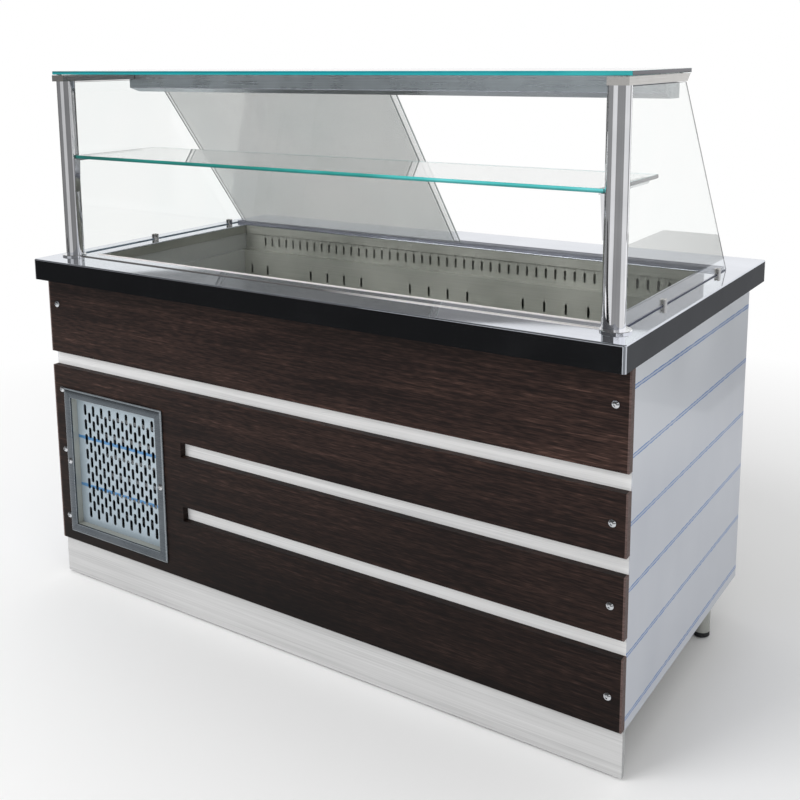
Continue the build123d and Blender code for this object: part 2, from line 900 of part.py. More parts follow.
# Grille
with BuildPart() as grille_frame:
    with BuildSketch(Plane.XZ.offset(-panel_front)):
        with Locations((grille_x, grille_z)):
            RectangleRounded(grille_width, grille_height, grille_corner)
    extrude(amount=grille_face_thickness)
    chamfer(grille_frame.faces().sort_by(Axis.Y)[0].edges(), grille_bevel)
    with BuildSketch(Plane.XZ.offset(-panel_front)):
        with Locations((grille_x, grille_z)):
            Rectangle(grille_inner_width + 2 * grille_collar, grille_inner_height + 2 * grille_collar)
    extrude(amount=-grille_collar_depth)
    with BuildSketch(Plane.XZ.offset(-panel_front)):
        with Locations((grille_x, grille_z)):
            Rectangle(grille_inner_width, grille_inner_height)
    extrude(amount=2 * grille_collar_depth, both=True, mode=Mode.SUBTRACT)
save(grille_frame, "grille_frame")

with BuildPart() as grille_sheet:
    with BuildSketch(Plane.XZ.offset(-panel_front - grille_recess)):
        with Locations((grille_x, grille_z)):
            Rectangle(grille_inner_width, grille_inner_height)
            with GridLocations(grille_slot_pitch, grille_row_pitch, grille_columns, grille_rows):
                SlotOverall(grille_slot_height, grille_slot_width, rotation=90, mode=Mode.SUBTRACT)
            with GridLocations(grille_slot_pitch, grille_row_pitch, grille_columns - 1, grille_rows - 1):
                SlotOverall(grille_slot_height, grille_slot_width, rotation=90, mode=Mode.SUBTRACT)
    extrude(amount=-grille_sheet_thickness)
save(grille_sheet, "grille_sheet")

# Side panels, reaching past the board's ends, with a flange behind the board and one at the bottom
for side, side_name in ((-1, "left"), (1, "right")):
    with BuildPart() as side_panel:
        block(
            span(side * side_inner, side * side_outer),
            (panel_back, body_rear),
            (body_bottom, worktop_under),
        )
        block(
            span(side * frame_x, side * side_outer),
            (board_back, body_rear),
            (body_bottom, body_bottom + sheet),
        )
        block(
            span(side * frame_x, side * side_outer),
            (board_back, board_back + sheet),
            (body_bottom, worktop_under),
        )
    save(side_panel, f"{side_name}_side_panel")

# Posts with their base flanges: closed tubes, set a little inwards of the arms and flanges
for side, side_name in ((-1, "left"), (1, "right")):
    with BuildPart() as post:
        with Locations((side * post_x, post_y, top_z)):
            Cylinder(post_diameter / 2, post_height, align=(Align.CENTER, Align.CENTER, Align.MIN))
        with Locations((side * arm_x, post_y, top_z)):
            Cylinder(flange_diameter / 2, flange_thickness, align=(Align.CENTER, Align.CENTER, Align.MIN))
        flange_top = post.faces().filter_by(Plane.XY).sort_by(Axis.Z)[1]
        chamfer(flange_top.edges().sort_by(SortBy.RADIUS)[-1], flange_edge)
        with Locations((side * post_x, post_y, top_z)):
            Cylinder(
                post_diameter / 2 - post_wall,
                post_height - post_wall,
                align=(Align.CENTER, Align.CENTER, Align.MIN),
                mode=Mode.SUBTRACT,
            )
    save(post, f"{side_name}_post")

# Arms on the posts: flat tubes, closed at the front and cut at a slant at the rear
with BuildPart() as top_arms:
    for side in (-1, 1):
        with BuildSketch(Plane.YZ.offset(side * arm_x - arm_width / 2)):
            with BuildLine():
                Polyline(
                    (arm_front, post_top),
                    (arm_front + arm_length - arm_slant, post_top),
                    (arm_front + arm_length, arm_top),
                    (arm_front, arm_top),
                    close=True,
                )
            make_face()
        extrude(amount=arm_width)
        hollow = arm_width - 2 * arm_wall
        with BuildSketch(Plane.YZ.offset(side * arm_x - hollow / 2)):
            with BuildLine():
                Polyline(
                    (arm_front + arm_wall, post_top + arm_wall),
                    (arm_front + 2 * arm_length, post_top + arm_wall),
                    (arm_front + 2 * arm_length, arm_top - arm_wall),
                    (arm_front + arm_wall, arm_top - arm_wall),
                    close=True,
                )
            make_face()
        extrude(amount=hollow, mode=Mode.SUBTRACT)
save(top_arms, "top_arms")

with BuildPart() as top_glass:
    block(both(top_glass_x), (top_glass_y, top_glass_y + top_glass_depth), (top_glass_bottom, top_glass_top))
    chamfer(top_glass.edges(), glass_edge)
    # Clear pads between the glass and the outer edges of the arms
    pad_x = arm_x + arm_width / 2 - glass_pad
    pad_reach = arm_length - arm_slant - 2 * glass_pad
    with Locations((0, arm_front + glass_pad + pad_reach / 2, top_glass_bottom)):
        with GridLocations(2 * pad_x, pad_reach, 2, 2):
            Cylinder(glass_pad / 2, glass_gap, align=(Align.CENTER, Align.CENTER, Align.MAX))
save(top_glass, "top_glass")

with BuildPart() as mid_shelf:
    block(both(shelf_x), (shelf_y, shelf_y + shelf_depth), (shelf_bottom, shelf_top))
    chamfer(mid_shelf.edges(), glass_edge)
save(mid_shelf, "mid_shelf")

# Slim wedges on the inner sides of the posts, each with a flat rail under the end of the middle shelf
with BuildPart() as shelf_brackets:
    for side in (-1, 1):
        with BuildSketch(Plane.XZ.offset(-post_y - bracket_width / 2)):
            with BuildLine():
                Polyline(
                    (side * post_x, shelf_bottom),
                    (side * (shelf_x - bracket_reach), shelf_bottom),
                    (side * (post_x - post_diameter / 2), shelf_bottom - bracket_drop),
                    (side * post_x, shelf_bottom - bracket_drop),
                    close=True,
                )
            make_face()
        extrude(amount=bracket_width)
        block(
            span(side * (shelf_x - rail_width), side * shelf_x),
            (post_y + rail_start, post_y + rail_start + rail_length),
            (shelf_bottom - rail_height, shelf_bottom),
        )
        with Locations((side * post_x, post_y, shelf_bottom)):
            Cylinder(post_diameter / 2, overcut * bracket_drop, mode=Mode.SUBTRACT)
save(shelf_brackets, "shelf_brackets")

# Side glass: upright at the front, slanted at the rear, standing in two clamps at each end
for side, side_name in ((-1, "left"), (1, "right")):
    with BuildPart() as side_glass:
        with BuildSketch(Plane.YZ.offset(side * side_glass_x - side_glass_thickness / 2)):
            glass_front = post_y + post_diameter / 2 + side_glass_post_gap
            with BuildLine():
                Polyline(
                    (glass_front, side_glass_low),
                    (slant_y(slant_foot, side_glass_low), side_glass_low),
                    (slant_y(slant_foot, side_glass_high), side_glass_high),
                    (glass_front, side_glass_high),
                    close=True,
                )
            make_face()
        extrude(amount=side_glass_thickness)
        chamfer(side_glass.edges(), pane_edge)
    save(side_glass, f"{side_name}_side_glass")

rear_clamp_y = slant_foot - rear_clamp_inset
clamp_places = (
    (-side_glass_x, post_y + left_clamp_reach),
    (-side_glass_x, rear_clamp_y),
    (side_glass_x, post_y + right_clamp_reach),
    (side_glass_x, rear_clamp_y),
)
with BuildPart() as side_glass_clamps:
    for clamp_x, clamp_y in clamp_places:
        with Locations((clamp_x, clamp_y, top_z)):
            Box(clamp_depth, clamp_length, clamp_height, align=(Align.CENTER, Align.CENTER, Align.MIN))
    fillet(side_glass_clamps.edges().filter_by(Axis.Z), clamp_edge)
    for clamp_x, clamp_y in clamp_places:
        with Locations((clamp_x, clamp_y, side_glass_low)):
            Box(
                side_glass_thickness + 2 * clamp_clearance,
                2 * clamp_length,
                clamp_height,
                align=(Align.CENTER, Align.CENTER, Align.MIN),
                mode=Mode.SUBTRACT,
            )
save(side_glass_clamps, "side_glass_clamps")


# Sliding panes: each runs in its own groove, parked at the left
def pane_reach(depth, z):
    return (z - top_z + depth * math.sin(lean)) / math.cos(lean)


def groove(depth, low, high):
    with Locations(pane_plane.location * Location((0, (low + high) / 2, depth))):
        Box(overcut * pane_span, high - low, groove_width, mode=Mode.SUBTRACT)


pane_depths = (
    ("rear_pane", -pane_spacing / 2, pane_left),
    ("front_pane", pane_spacing / 2, pane_left + pane_stagger),
)
with BuildPart() as bottom_track:
    block(both(pane_span), bottom_track_span, (top_z, top_z + track_height))
    for pane_name, depth, start in pane_depths:
        groove(depth, pane_reach(depth + groove_width / 2, top_z + track_wall), overcut * track_height)
save(bottom_track, "bottom_track")

with BuildPart() as top_track:
    block(both(pane_span - top_track_inset), top_track_span, (top_track_bottom, post_top))
    for pane_name, depth, start in pane_depths:
        end = pane_reach(depth - groove_width / 2, groove_top)
        groove(depth, end - overcut * top_track_height, end)
save(top_track, "top_track")

for pane_name, depth, start in pane_depths:
    low = pane_reach(depth + pane_thickness / 2, top_z + track_wall + pane_floor_gap)
    high = pane_reach(depth - pane_thickness / 2, groove_top - pane_top_gap)
    with BuildPart() as pane:
        with Locations(pane_plane.location * Location((start + pane_width / 2, (low + high) / 2, depth))):
            Box(pane_width, high - low, pane_thickness)
        chamfer(pane.edges(), pane_edge)
    save(pane, pane_name)

# Light housing: a folded channel with a window in its underside, raised between the arms, and its lamp
housing_outline = [
    (housing_front, post_top),
    (housing_front, post_top - housing_front_height),
    (housing_front + housing_slope, housing_bottom),
    (housing_rear, housing_bottom),
    (housing_rear, post_top),
]
lamp_y = (housing_front + housing_slope + housing_rear) / 2
lamp_z = housing_bottom + sheet + lamp_rise + lamp_cap / 2
with BuildPart() as light_housing:
    with BuildSketch(Plane.YZ.offset(-housing_x)):
        with BuildLine():
            Polyline(*housing_outline, close=True)
        make_face()
    extrude(amount=2 * housing_x)
    block(both(housing_upper_x), (housing_front, housing_rear), (post_top, arm_top))
    with BuildSketch(Plane.YZ.offset(-housing_x + sheet)):
        with BuildLine():
            Polyline(*housing_outline, close=True)
        make_face()
        offset(amount=-sheet, kind=Kind.INTERSECTION, mode=Mode.REPLACE)
    extrude(amount=2 * housing_x - 2 * sheet, mode=Mode.SUBTRACT)
    block(
        both(housing_upper_x - sheet),
        (housing_front + sheet, housing_rear - sheet),
        (post_top - 2 * sheet, arm_top - sheet),
        mode=Mode.SUBTRACT,
    )
    block(
        both(housing_x - lamp_window_end),
        (lamp_y - lamp_window / 2, lamp_y + lamp_window / 2),
        (housing_bottom - sheet, housing_bottom + 2 * sheet),
        mode=Mode.SUBTRACT,
    )
save(light_housing, "light_housing")

with BuildPart() as light_tube:
    with Locations(Location((0, lamp_y, lamp_z), (0, 90, 0))):
        Cylinder(lamp_diameter / 2, 2 * (housing_x - sheet))
    for side in (-1, 1):
        cap_x = side * (housing_x - sheet - lamp_cap_length / 2)
        with Locations(Location((cap_x, lamp_y, lamp_z), (0, 90, 0))):
            Cylinder(lamp_cap / 2, lamp_cap_length)
save(light_tube, "light_tube")

# Condensing unit behind the grille
with BuildPart() as condenser_coil:
    with BuildSketch(Plane.XZ.offset(-condenser_front)):
        with Locations((grille_x, condenser_z)):
            fin_pitch = (condenser_width - fin_thickness) / (condenser_fins - 1)
            with GridLocations(fin_pitch, 1, condenser_fins, 1):
                Rectangle(fin_thickness, condenser_height)
            with GridLocations(1, condenser_height / bend_rows, 1, bend_rows):
                Rectangle(condenser_width, fin_tube)
    extrude(amount=-condenser_depth)
    for side in (-1, 1):
        edge = grille_x + side * condenser_width / 2
        block(
            span(edge, edge + side * condenser_plate),
            (condenser_front, condenser_rear),
            (floor_top, condenser_top),
        )
    row_pitch = condenser_height / bend_rows
    for row in range(bend_rows):
        bend_z = condenser_bottom + row_pitch * row + row_pitch / 2
        bend_x = grille_x + condenser_width / 2 + condenser_plate
        bend_plane = Plane(origin=(bend_x, condenser_y, bend_z), x_dir=(0, 0, 1), z_dir=(0, 1, 0))
        with Locations(bend_plane.location):
            Torus(bend_radius, fin_tube / 2, major_angle=180, align=(Align.NONE, Align.NONE, Align.NONE))
    with BuildLine():
        liquid_path = FilletPolyline(
            (liquid_pipe_x, condenser_y, condenser_top - pipe_root),
            (liquid_pipe_x, condenser_y, foam_bottom - pipe_foam_gap),
            (liquid_pipe_x, liquid_pipe_y, foam_bottom - pipe_foam_gap),
            (liquid_pipe_x, liquid_pipe_y, pipe_end),
            (-coil_length / 2 - coil_plate, liquid_pipe_y, pipe_end),
            radius=pipe_bend,
        )
    with BuildSketch(Plane(origin=liquid_path @ 0, z_dir=liquid_path % 0)):
        Circle(pipe_diameter / 2)
    sweep(path=liquid_path)
save(condenser_coil, "condenser_coil")

with BuildPart() as fan_shroud:
    block(
        (grille_x - condenser_width / 2, grille_x + condenser_width / 2),
        (condenser_rear, fan_y),
        (condenser_bottom, condenser_top),
    )
    block(
        (grille_x - condenser_width / 2 + shroud_wall, grille_x + condenser_width / 2 - shroud_wall),
        (condenser_rear, fan_y - shroud_wall),
        (condenser_bottom + shroud_wall, condenser_top - shroud_wall),
        mode=Mode.SUBTRACT,
    )
    with Locations(Location((grille_x, fan_y, condenser_z), (90, 0, 0))):
        Cylinder(shroud_hole / 2, shroud_depth, mode=Mode.SUBTRACT)
save(fan_shroud, "fan_shroud")

fan_plane = Plane(origin=(grille_x, fan_y, condenser_z), x_dir=(1, 0, 0), z_dir=(0, 1, 0))
with BuildPart(fan_plane) as condenser_fan:
    blade_reach = fan_diameter / 2
    with PolarLocations(blade_reach / 2, fan_blades):
        Box(blade_reach, fan_blade_width, fan_blade_thickness, rotation=(fan_blade_pitch, 0, 0))
    Cylinder(fan_diameter / 2, fan_hub_length, mode=Mode.INTERSECT)
    Cylinder(fan_hub / 2, fan_hub_length)
    with Locations((0, 0, fan_hub_length / 2)):
        Cylinder(fan_shaft / 2, fan_shaft_length, align=(Align.CENTER, Align.CENTER, Align.MIN))
save(condenser_fan, "condenser_fan")

with BuildPart() as fan_motor:
    motor_middle = motor_front + motor_length / 2
    with Locations(Location((grille_x, motor_middle, condenser_z), (90, 0, 0))):
        Cylinder(motor_diameter / 2, motor_length)
    fillet(fan_motor.edges().filter_by(GeomType.CIRCLE), motor_round)
    block(
        (grille_x - motor_stand / 2, grille_x + motor_stand / 2),
        (motor_middle - motor_stand_thickness / 2, motor_middle + motor_stand_thickness / 2),
        (floor_top, condenser_z),
    )
    block(
        (grille_x - motor_stand / 2, grille_x + motor_stand / 2),
        (motor_middle - motor_foot / 2, motor_middle + motor_foot / 2),
        (floor_top, floor_top + motor_stand_thickness),
    )
    with Locations(Location((grille_x, motor_front, condenser_z), (90, 0, 0))):
        Cylinder(fan_shaft / 2 + shaft_clearance, 2 * motor_bore_depth, mode=Mode.SUBTRACT)
save(fan_motor, "fan_motor")

# Compressor on four feet, open underneath, with its suction pipe up into the plenum
with BuildPart() as compressor:
    base_z = floor_top + compressor_foot_height
    with Locations((compressor_x, compressor_y, base_z + compressor_base)):
        Cylinder(compressor_diameter / 2, compressor_height, align=(Align.CENTER, Align.CENTER, Align.MIN))
    fillet(compressor.edges().group_by(Axis.Z)[-1], compressor_dome)
    with Locations((compressor_x, compressor_y, base_z)):
        Box(
            compressor_base_size,
            compressor_base_size,
            compressor_base,
            align=(Align.CENTER, Align.CENTER, Align.MIN),
        )
    with Locations((compressor_x, compressor_y, floor_top)):
        foot_pitch = compressor_base_size - compressor_foot
        with GridLocations(foot_pitch, foot_pitch, 2, 2):
            Cylinder(
                compressor_foot / 2,
                compressor_foot_height,
                align=(Align.CENTER, Align.CENTER, Align.MIN),
            )
    with Locations((compressor_x + compressor_diameter / 2, compressor_y, base_z + compressor_height / 2)):
        Box(*terminal_box)
    with Locations((compressor_x, compressor_y, base_z)):
        Cylinder(
            compressor_diameter / 2 - compressor_wall,
            compressor_height - compressor_dome,
            align=(Align.CENTER, Align.CENTER, Align.MIN),
            mode=Mode.SUBTRACT,
        )
    with BuildLine():
        suction_path = FilletPolyline(
            (compressor_x, compressor_y, compressor_top - compressor_dome / 2),
            (compressor_x, compressor_y, compressor_top + pipe_rise),
            (suction_pipe_x, suction_pipe_y, compressor_top + pipe_rise),
            (suction_pipe_x, suction_pipe_y, pipe_end),
            (-coil_length / 2 - coil_plate, suction_pipe_y, pipe_end),
            radius=pipe_bend,
        )
    with BuildSketch(Plane(origin=suction_path @ 0, z_dir=suction_path % 0)):
        Circle(pipe_diameter / 2)
    sweep(path=suction_path)
save(compressor, "compressor")

# Rear panels
with BuildPart() as rear_panel:
    block(both(side_inner), (body_rear - sheet, body_rear), (rear_panel_bottom, worktop_under))
    block(
        both(side_inner),
        (body_rear - rear_flange, body_rear),
        (rear_panel_bottom, rear_panel_bottom + sheet),
    )
save(rear_panel, "rear_panel")

with BuildPart() as service_panel:
    block((-side_inner, panel_right), (body_rear - sheet, body_rear), (frame_top, service_top))
    block((panel_right - sheet, panel_right), (partition_rear, body_rear), (frame_top, service_top))
    block(
        (-side_inner, panel_right),
        (body_rear - rear_flange, body_rear),
        (service_top - sheet, service_top),
    )
    with BuildSketch(Plane.XZ.offset(-body_rear)):
        with Locations(((panel_right - side_inner) / 2, (frame_top + service_top) / 2)):
            with GridLocations(vent_column_pitch, vent_slot_pitch, vent_columns, vent_rows):
                SlotOverall(vent_slot_length, vent_slot_height)
    extrude(amount=2 * sheet, both=True, mode=Mode.SUBTRACT)
save(service_panel, "service_panel")

# Controls: a panel with cut-outs for the controller and two rocker switches
switch_places = [partition_x - place for place in switch_from_partition]
pocket_width = rocker_width + 2 * rocker_clearance
pocket_height = rocker_height + 2 * rocker_clearance
with BuildPart() as control_panel:
    block((-side_inner, panel_right), (body_rear - sheet, body_rear), (control_bottom, rear_panel_bottom))
    block(
        (panel_right - sheet, panel_right),
        (partition_rear, body_rear),
        (control_bottom, rear_panel_bottom),
    )
    block(
        (-side_inner, panel_right),
        (body_rear - rear_flange, body_rear),
        (control_bottom, control_bottom + sheet),
    )
    with BuildSketch(Plane.XZ.offset(-body_rear)):
        with Locations((thermostat_x, control_z)):
            Rectangle(controller_width + 2 * cutout_clearance, controller_height + 2 * cutout_clearance)
        with Locations(*[(place, control_z) for place in switch_places]):
            Rectangle(
                pocket_width + 2 * switch_wall + 2 * cutout_clearance,
                pocket_height + 2 * switch_wall + 2 * cutout_clearance,
            )
    extrude(amount=2 * sheet, both=True, mode=Mode.SUBTRACT)
save(control_panel, "control_panel")

button_places = (
    ("up_button", control_z + button_spread / 2),
    ("down_button", control_z - button_spread / 2),
)
with BuildPart() as thermostat:
    with Locations((thermostat_x, body_rear, control_z)):
        Box(bezel_width, bezel_thickness, bezel_height, align=(Align.CENTER, Align.MIN, Align.CENTER))
    fillet(thermostat.edges().filter_by(Axis.Y), bezel_thickness / 2)
    with Locations((thermostat_x, body_rear, control_z)):
        Box(
            controller_width,
            controller_depth,
            controller_height,
            align=(Align.CENTER, Align.MAX, Align.CENTER),
        )
    with Locations((thermostat_x - display_offset, bezel_front, control_z)):
        Box(display_width, 2 * display_depth, display_height, mode=Mode.SUBTRACT)
    for button_name, button_z in button_places:
        with Locations((thermostat_x + button_offset, bezel_front, button_z)):
            Box(button_size, 2 * button_hole_depth, button_size, mode=Mode.SUBTRACT)
save(thermostat, "thermostat")

for button_name, button_z in button_places:
    with BuildPart() as button:
        with Locations((thermostat_x + button_offset, bezel_front + button_proud, button_z)):
            cap = button_size - 2 * button_clearance
            Box(cap, button_length, cap, align=(Align.CENTER, Align.MAX, Align.CENTER))
        fillet(button.faces().sort_by(Axis.Y)[-1].edges(), button_edge)
    save(button, button_name)

with BuildPart() as switch_frames:
    for place in switch_places:
        with Locations((place, body_rear, control_z)):
            Box(
                switch_width,
                switch_frame_thickness,
                switch_height,
                align=(Align.CENTER, Align.MIN, Align.CENTER),
            )
            Box(
                pocket_width + 2 * switch_wall,
                switch_body_depth,
                pocket_height + 2 * switch_wall,
                align=(Align.CENTER, Align.MAX, Align.CENTER),
            )
    for place in switch_places:
        with Locations((place, body_rear + switch_frame_thickness, control_z)):
            Box(
                pocket_width,
                rocker_pocket,
                pocket_height,
                align=(Align.CENTER, Align.MAX, Align.CENTER),
                mode=Mode.SUBTRACT,
            )
        with Locations(Location((place, rocker_y, control_z), (0, 90, 0))):
            Cylinder(
                rocker_pin / 2 + rocker_pin_clearance,
                pocket_width + 2 * rocker_pin_length,
                mode=Mode.SUBTRACT,
            )
save(switch_frames, "switch_frames")

# Rockers, each stored pressed in at the top
for switch_name, place in zip(("power_switch", "light_switch"), switch_places):
    tilt = math.radians(rocker_tilt)
    rocker_plane = Plane(
        origin=(place, rocker_y, control_z),
        x_dir=(0, math.cos(tilt), math.sin(tilt)),
        z_dir=(1, 0, 0),
    )
    with BuildPart() as rocker:
        with BuildSketch(rocker_plane):
            with BuildLine():
                Polyline(
                    (rocker_rise, rocker_height / 2),
                    (rocker_rise - rocker_dip, 0),
                    (rocker_rise, -rocker_height / 2),
                    (0, -rocker_height / 2),
                    (-rocker_depth, -rocker_heel),
                    (-rocker_depth, rocker_heel),
                    (0, rocker_height / 2),
                    close=True,
                )
            make_face()
        extrude(amount=rocker_width / 2, both=True)
        with Locations(rocker_plane.location):
            Cylinder(rocker_pin / 2, pocket_width + rocker_pin_length)
    save(rocker, switch_name)

# Doors of the store under the well: folded pans hung on pins, with a grip folded out at the top
for side, side_name in ((-1, "left"), (1, "right")):
    outer_edge = door_left if side < 0 else door_right
    free_edge = outer_edge - side * door_width
    with BuildPart() as door:
        block(span(outer_edge, free_edge), (door_front, body_rear), (door_bottom, door_top))
        block(
            span(outer_edge - side * sheet, free_edge + side * sheet),
            (door_front, body_rear - sheet),
            (door_bottom + sheet, door_top - sheet),
            mode=Mode.SUBTRACT,
        )
        block(
            span(outer_edge - side * 2 * hinge_block, free_edge + side * door_return),
            (body_rear, body_rear + door_grip_lip),
            (door_top - sheet, door_top),
        )
        block(
            span(outer_edge - side * 2 * hinge_block, free_edge + side * door_return),
            (body_rear + door_grip_lip - sheet, body_rear + door_grip_lip),
            (door_top - door_grip, door_top),
        )
        for end_z, upward in ((door_bottom, 1), (door_top, -1)):
            block(
                span(outer_edge, outer_edge - side * hinge_block),
                (door_front, body_rear),
                span(end_z, end_z + upward * hinge_block),
            )
            with Locations((outer_edge - side * hinge_inset, hinge_y, end_z)):
                bore_depth = hinge_pin_length + hinge_lift
                Cylinder(hinge_pin / 2 + pin_clearance, 2 * bore_depth, mode=Mode.SUBTRACT)
    save(door, f"{side_name}_door")

with BuildPart() as door_hinges:
    for pin_x in (door_left + hinge_inset, door_right - hinge_inset):
        for plate_z, upward in ((frame_top, 1), (rear_panel_bottom, -1)):
            block(
                (pin_x - hinge_plate_size / 2, pin_x + hinge_plate_size / 2),
                (door_front, body_rear),
                span(plate_z, plate_z + upward * hinge_plate),
            )
            pin_z = plate_z + upward * (hinge_plate + hinge_pin_length / 2)
            with Locations((pin_x, hinge_y, pin_z)):
                Cylinder(hinge_pin / 2, hinge_pin_length)
save(door_hinges, "door_hinges")
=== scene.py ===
import math
import bmesh
import bpy
from mathutils import Matrix, Vector


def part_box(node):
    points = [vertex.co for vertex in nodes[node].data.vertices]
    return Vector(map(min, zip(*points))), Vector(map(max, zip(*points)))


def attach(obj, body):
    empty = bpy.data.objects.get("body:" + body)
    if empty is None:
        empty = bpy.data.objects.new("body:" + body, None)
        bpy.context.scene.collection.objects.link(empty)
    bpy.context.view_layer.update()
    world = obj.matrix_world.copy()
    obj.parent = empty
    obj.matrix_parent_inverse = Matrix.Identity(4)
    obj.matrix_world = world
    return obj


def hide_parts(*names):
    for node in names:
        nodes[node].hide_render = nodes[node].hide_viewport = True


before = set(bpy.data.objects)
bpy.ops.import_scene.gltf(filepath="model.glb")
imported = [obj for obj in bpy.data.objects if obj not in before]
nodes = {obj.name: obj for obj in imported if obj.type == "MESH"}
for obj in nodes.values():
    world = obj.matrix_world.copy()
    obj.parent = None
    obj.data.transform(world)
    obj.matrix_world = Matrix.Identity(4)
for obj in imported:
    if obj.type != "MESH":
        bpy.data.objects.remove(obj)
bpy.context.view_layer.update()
print("frame loaded:", len(nodes), "nodes")


def metres(*sizes):  # the dictionaries are in millimetres, Blender works in metres
    return Vector([size / 1000 for size in sizes])


def linear(hexColour):  # sRGB hex to linear RGBA
    shares = [int(hexColour[i:i + 2], 16) / 255 for i in (1, 3, 5)]
    return [c / 12.92 if c <= 0.04045 else ((c + 0.055) / 1.055) ** 2.4 for c in shares] + [1.0]


def addNode(tree, kind, inputs=(), stops=(), **settings):  # one node with its settings, values and links
    node = tree.nodes.new("ShaderNode" + kind)
    for key, value in settings.items():
        setattr(node, key, value)
    pairs = inputs.items() if isinstance(inputs, dict) else enumerate(inputs)  # by name, or in order
    for key, value in pairs:
        if isinstance(value, bpy.types.Node):
            value = value.outputs[0]
        if isinstance(value, bpy.types.NodeSocket):
            tree.links.new(value, node.inputs[key])
        else:
            node.inputs[key].default_value = value
    if stops:
        for extra in stops[2:]:
            node.color_ramp.elements.new(extra[0])
        for element, (place, hexColour) in zip(node.color_ramp.elements, stops):
            element.position = place
            element.color = linear(hexColour)
    return node


def newMaterial(name):
    material = bpy.data.materials.new(name)
    material.use_nodes = True
    tree = material.node_tree
    tree.nodes.clear()
    place = addNode(tree, "TexCoord").outputs["Object"]
    return material, tree, place


def grainNoise(tree, place, size, detail=3.0, offset=0):  # noise stretched to a size in mm along X, Y, Z
    stretch = [1000 / length for length in size]
    mapped = addNode(tree, "Mapping", {"Vector": place, "Location": (offset,) * 3, "Scale": stretch})
    return addNode(tree, "TexNoise", {"Vector": mapped, "Scale": 1.0, "Detail": detail})


noiseSpan = (0.3, 0.7)  # nearly all of a noise's values lie in it
cloudSpan = (0.35, 0.65)  # narrower, for a clearer difference between the tones
bumpStrength = {"lines": 0.6, "grain": 0.5}


def twoTones(span, look):  # stops of a ramp from the dark tone to the light one
    return [(span[0], look["dark"]), (span[1], look["light"])]


# metals


def makeSteel(name, look):  # stainless sheet: lines of the polish along one axis, soft smudges over them
    material, tree, place = newMaterial(name)
    lines = grainNoise(tree, place, look["lines"], 2.0)
    smudge = grainNoise(tree, place, (look["smudge"],) * 3, 3.0, 7)
    mix = addNode(tree, "MixRGB", (look["lineShare"], smudge, lines))
    tone = addNode(tree, "ValToRGB", (mix,), twoTones(noiseSpan, look))
    if "paintedLightLevels" in look:  # painted light and shade: the tone grows lighter or darker along the counter
        along = addNode(tree, "SeparateXYZ", (place,)).outputs["X"]
        level = addNode(tree, "MapRange", (along, *look["lengths"], *look["paintedLightLevels"]))
        tone = addNode(tree, "MixRGB", (1.0, tone, level), blend_type="MULTIPLY")
    rough = addNode(tree, "MapRange", (mix, *noiseSpan, *look["roughness"]))
    depth = look["lineDepth"] / 1000
    bump = addNode(tree, "Bump", {"Height": lines, "Distance": depth, "Strength": bumpStrength["lines"]})
    shader = addNode(tree, "BsdfPrincipled", {
        "Base Color": tone, "Metallic": look.get("metallic", 1.0), "Roughness": rough, "Normal": bump,
    })
    addNode(tree, "OutputMaterial", (shader,))
    return material


polishedSteelLook = {  # 304 sheet buffed to a near mirror: sharp reflections, faint haze
    "light": "#dde1ea", "dark": "#cbcfd8", "roughness": (0.02, 0.06),
    "lines": (260, 2.2, 2.2), "lineShare": 0.25, "lineDepth": 0.004, "smudge": 150,
}
postSteelLook = {  # welded tube, polished lengthways: long clean streaks
    "light": "#dddde0", "dark": "#c8c9cc", "roughness": (0.03, 0.06),
    "lines": (2.4, 2.4, 300), "lineShare": 0.4, "lineDepth": 0.003, "smudge": 90,
    # painted light: the tone grows lighter towards the right end of the counter
    "lengths": (-0.7, 0.7), "paintedLightLevels": (1.0, 1.36),
}
satinSteelLook = {  # 2B sheet as rolled: grey and even, blurred reflections
    "light": "#bcbdb8", "dark": "#a5a7a2", "metallic": 0.8, "roughness": (0.26, 0.38),
    "lines": (180, 3.0, 3.0), "lineShare": 0.35, "lineDepth": 0.006, "smudge": 120,
}
wellSteelLook = {  # the well's walls: matt rolled sheet with a film of handling, in broad soft patches
    "light": "#c6c7c0", "dark": "#9fa19a", "metallic": 0.45, "roughness": (0.36, 0.48),
    "lines": (180, 3.0, 3.0), "lineShare": 0.2, "lineDepth": 0.005, "smudge": 240,
}
litWellEndLook = {**wellSteelLook, "light": "#dcdedc", "dark": "#c0c3c2", "metallic": 0.3}  # a lighter copy of the well's sheet for the left end wall: painted light
paintedEdgeHighlightLook = {  # sheet edge rolled over: painted highlight, a near-white warm tone of little metal along it
    "light": "#f6f2f0", "dark": "#e8e3e1", "metallic": 0.15, "roughness": (0.3, 0.4),
    "lines": (260, 2.0, 2.0), "lineShare": 0.4, "lineDepth": 0.003, "smudge": 120,
}
beadLook = {**paintedEdgeHighlightLook, "lengths": (0.06, 0.24), "paintedLightLevels": (0.14, 1.0)}  # painted highlight, darkened towards the left by painted shade
housingSteelLook = {  # brushed sheet of the lamp housing, darker and bluish
    "light": "#a8b0b5", "dark": "#8f969b", "roughness": (0.24, 0.34),
    "lines": (220, 2.0, 2.0), "lineShare": 0.5, "lineDepth": 0.006, "smudge": 70,
    # painted light: the tone grows lighter towards the left end
    "lengths": (-0.62, 0.0), "paintedLightLevels": (1.75, 1.0),
}
frameSteelLook = {  # satin folded frame of the grille
    "light": "#6b7176", "dark": "#53595f", "roughness": (0.22, 0.34),
    "lines": (120, 1.8, 1.8), "lineShare": 0.5, "lineDepth": 0.005, "smudge": 60,
}
frameRimHighlightLook = {  # the frame's folds: a lighter copy of the frame's steel, painted highlight
    **frameSteelLook, "light": "#969da2", "dark": "#7f868c", "metallic": 0.4,
}
armSteelLook = {  # flat tube, ground lengthways with a fine belt
    "light": "#cbc9c6", "dark": "#b3b1ae", "roughness": (0.16, 0.26),
    "lines": (2.0, 160, 2.0), "lineShare": 0.5, "lineDepth": 0.005, "smudge": 60,
}
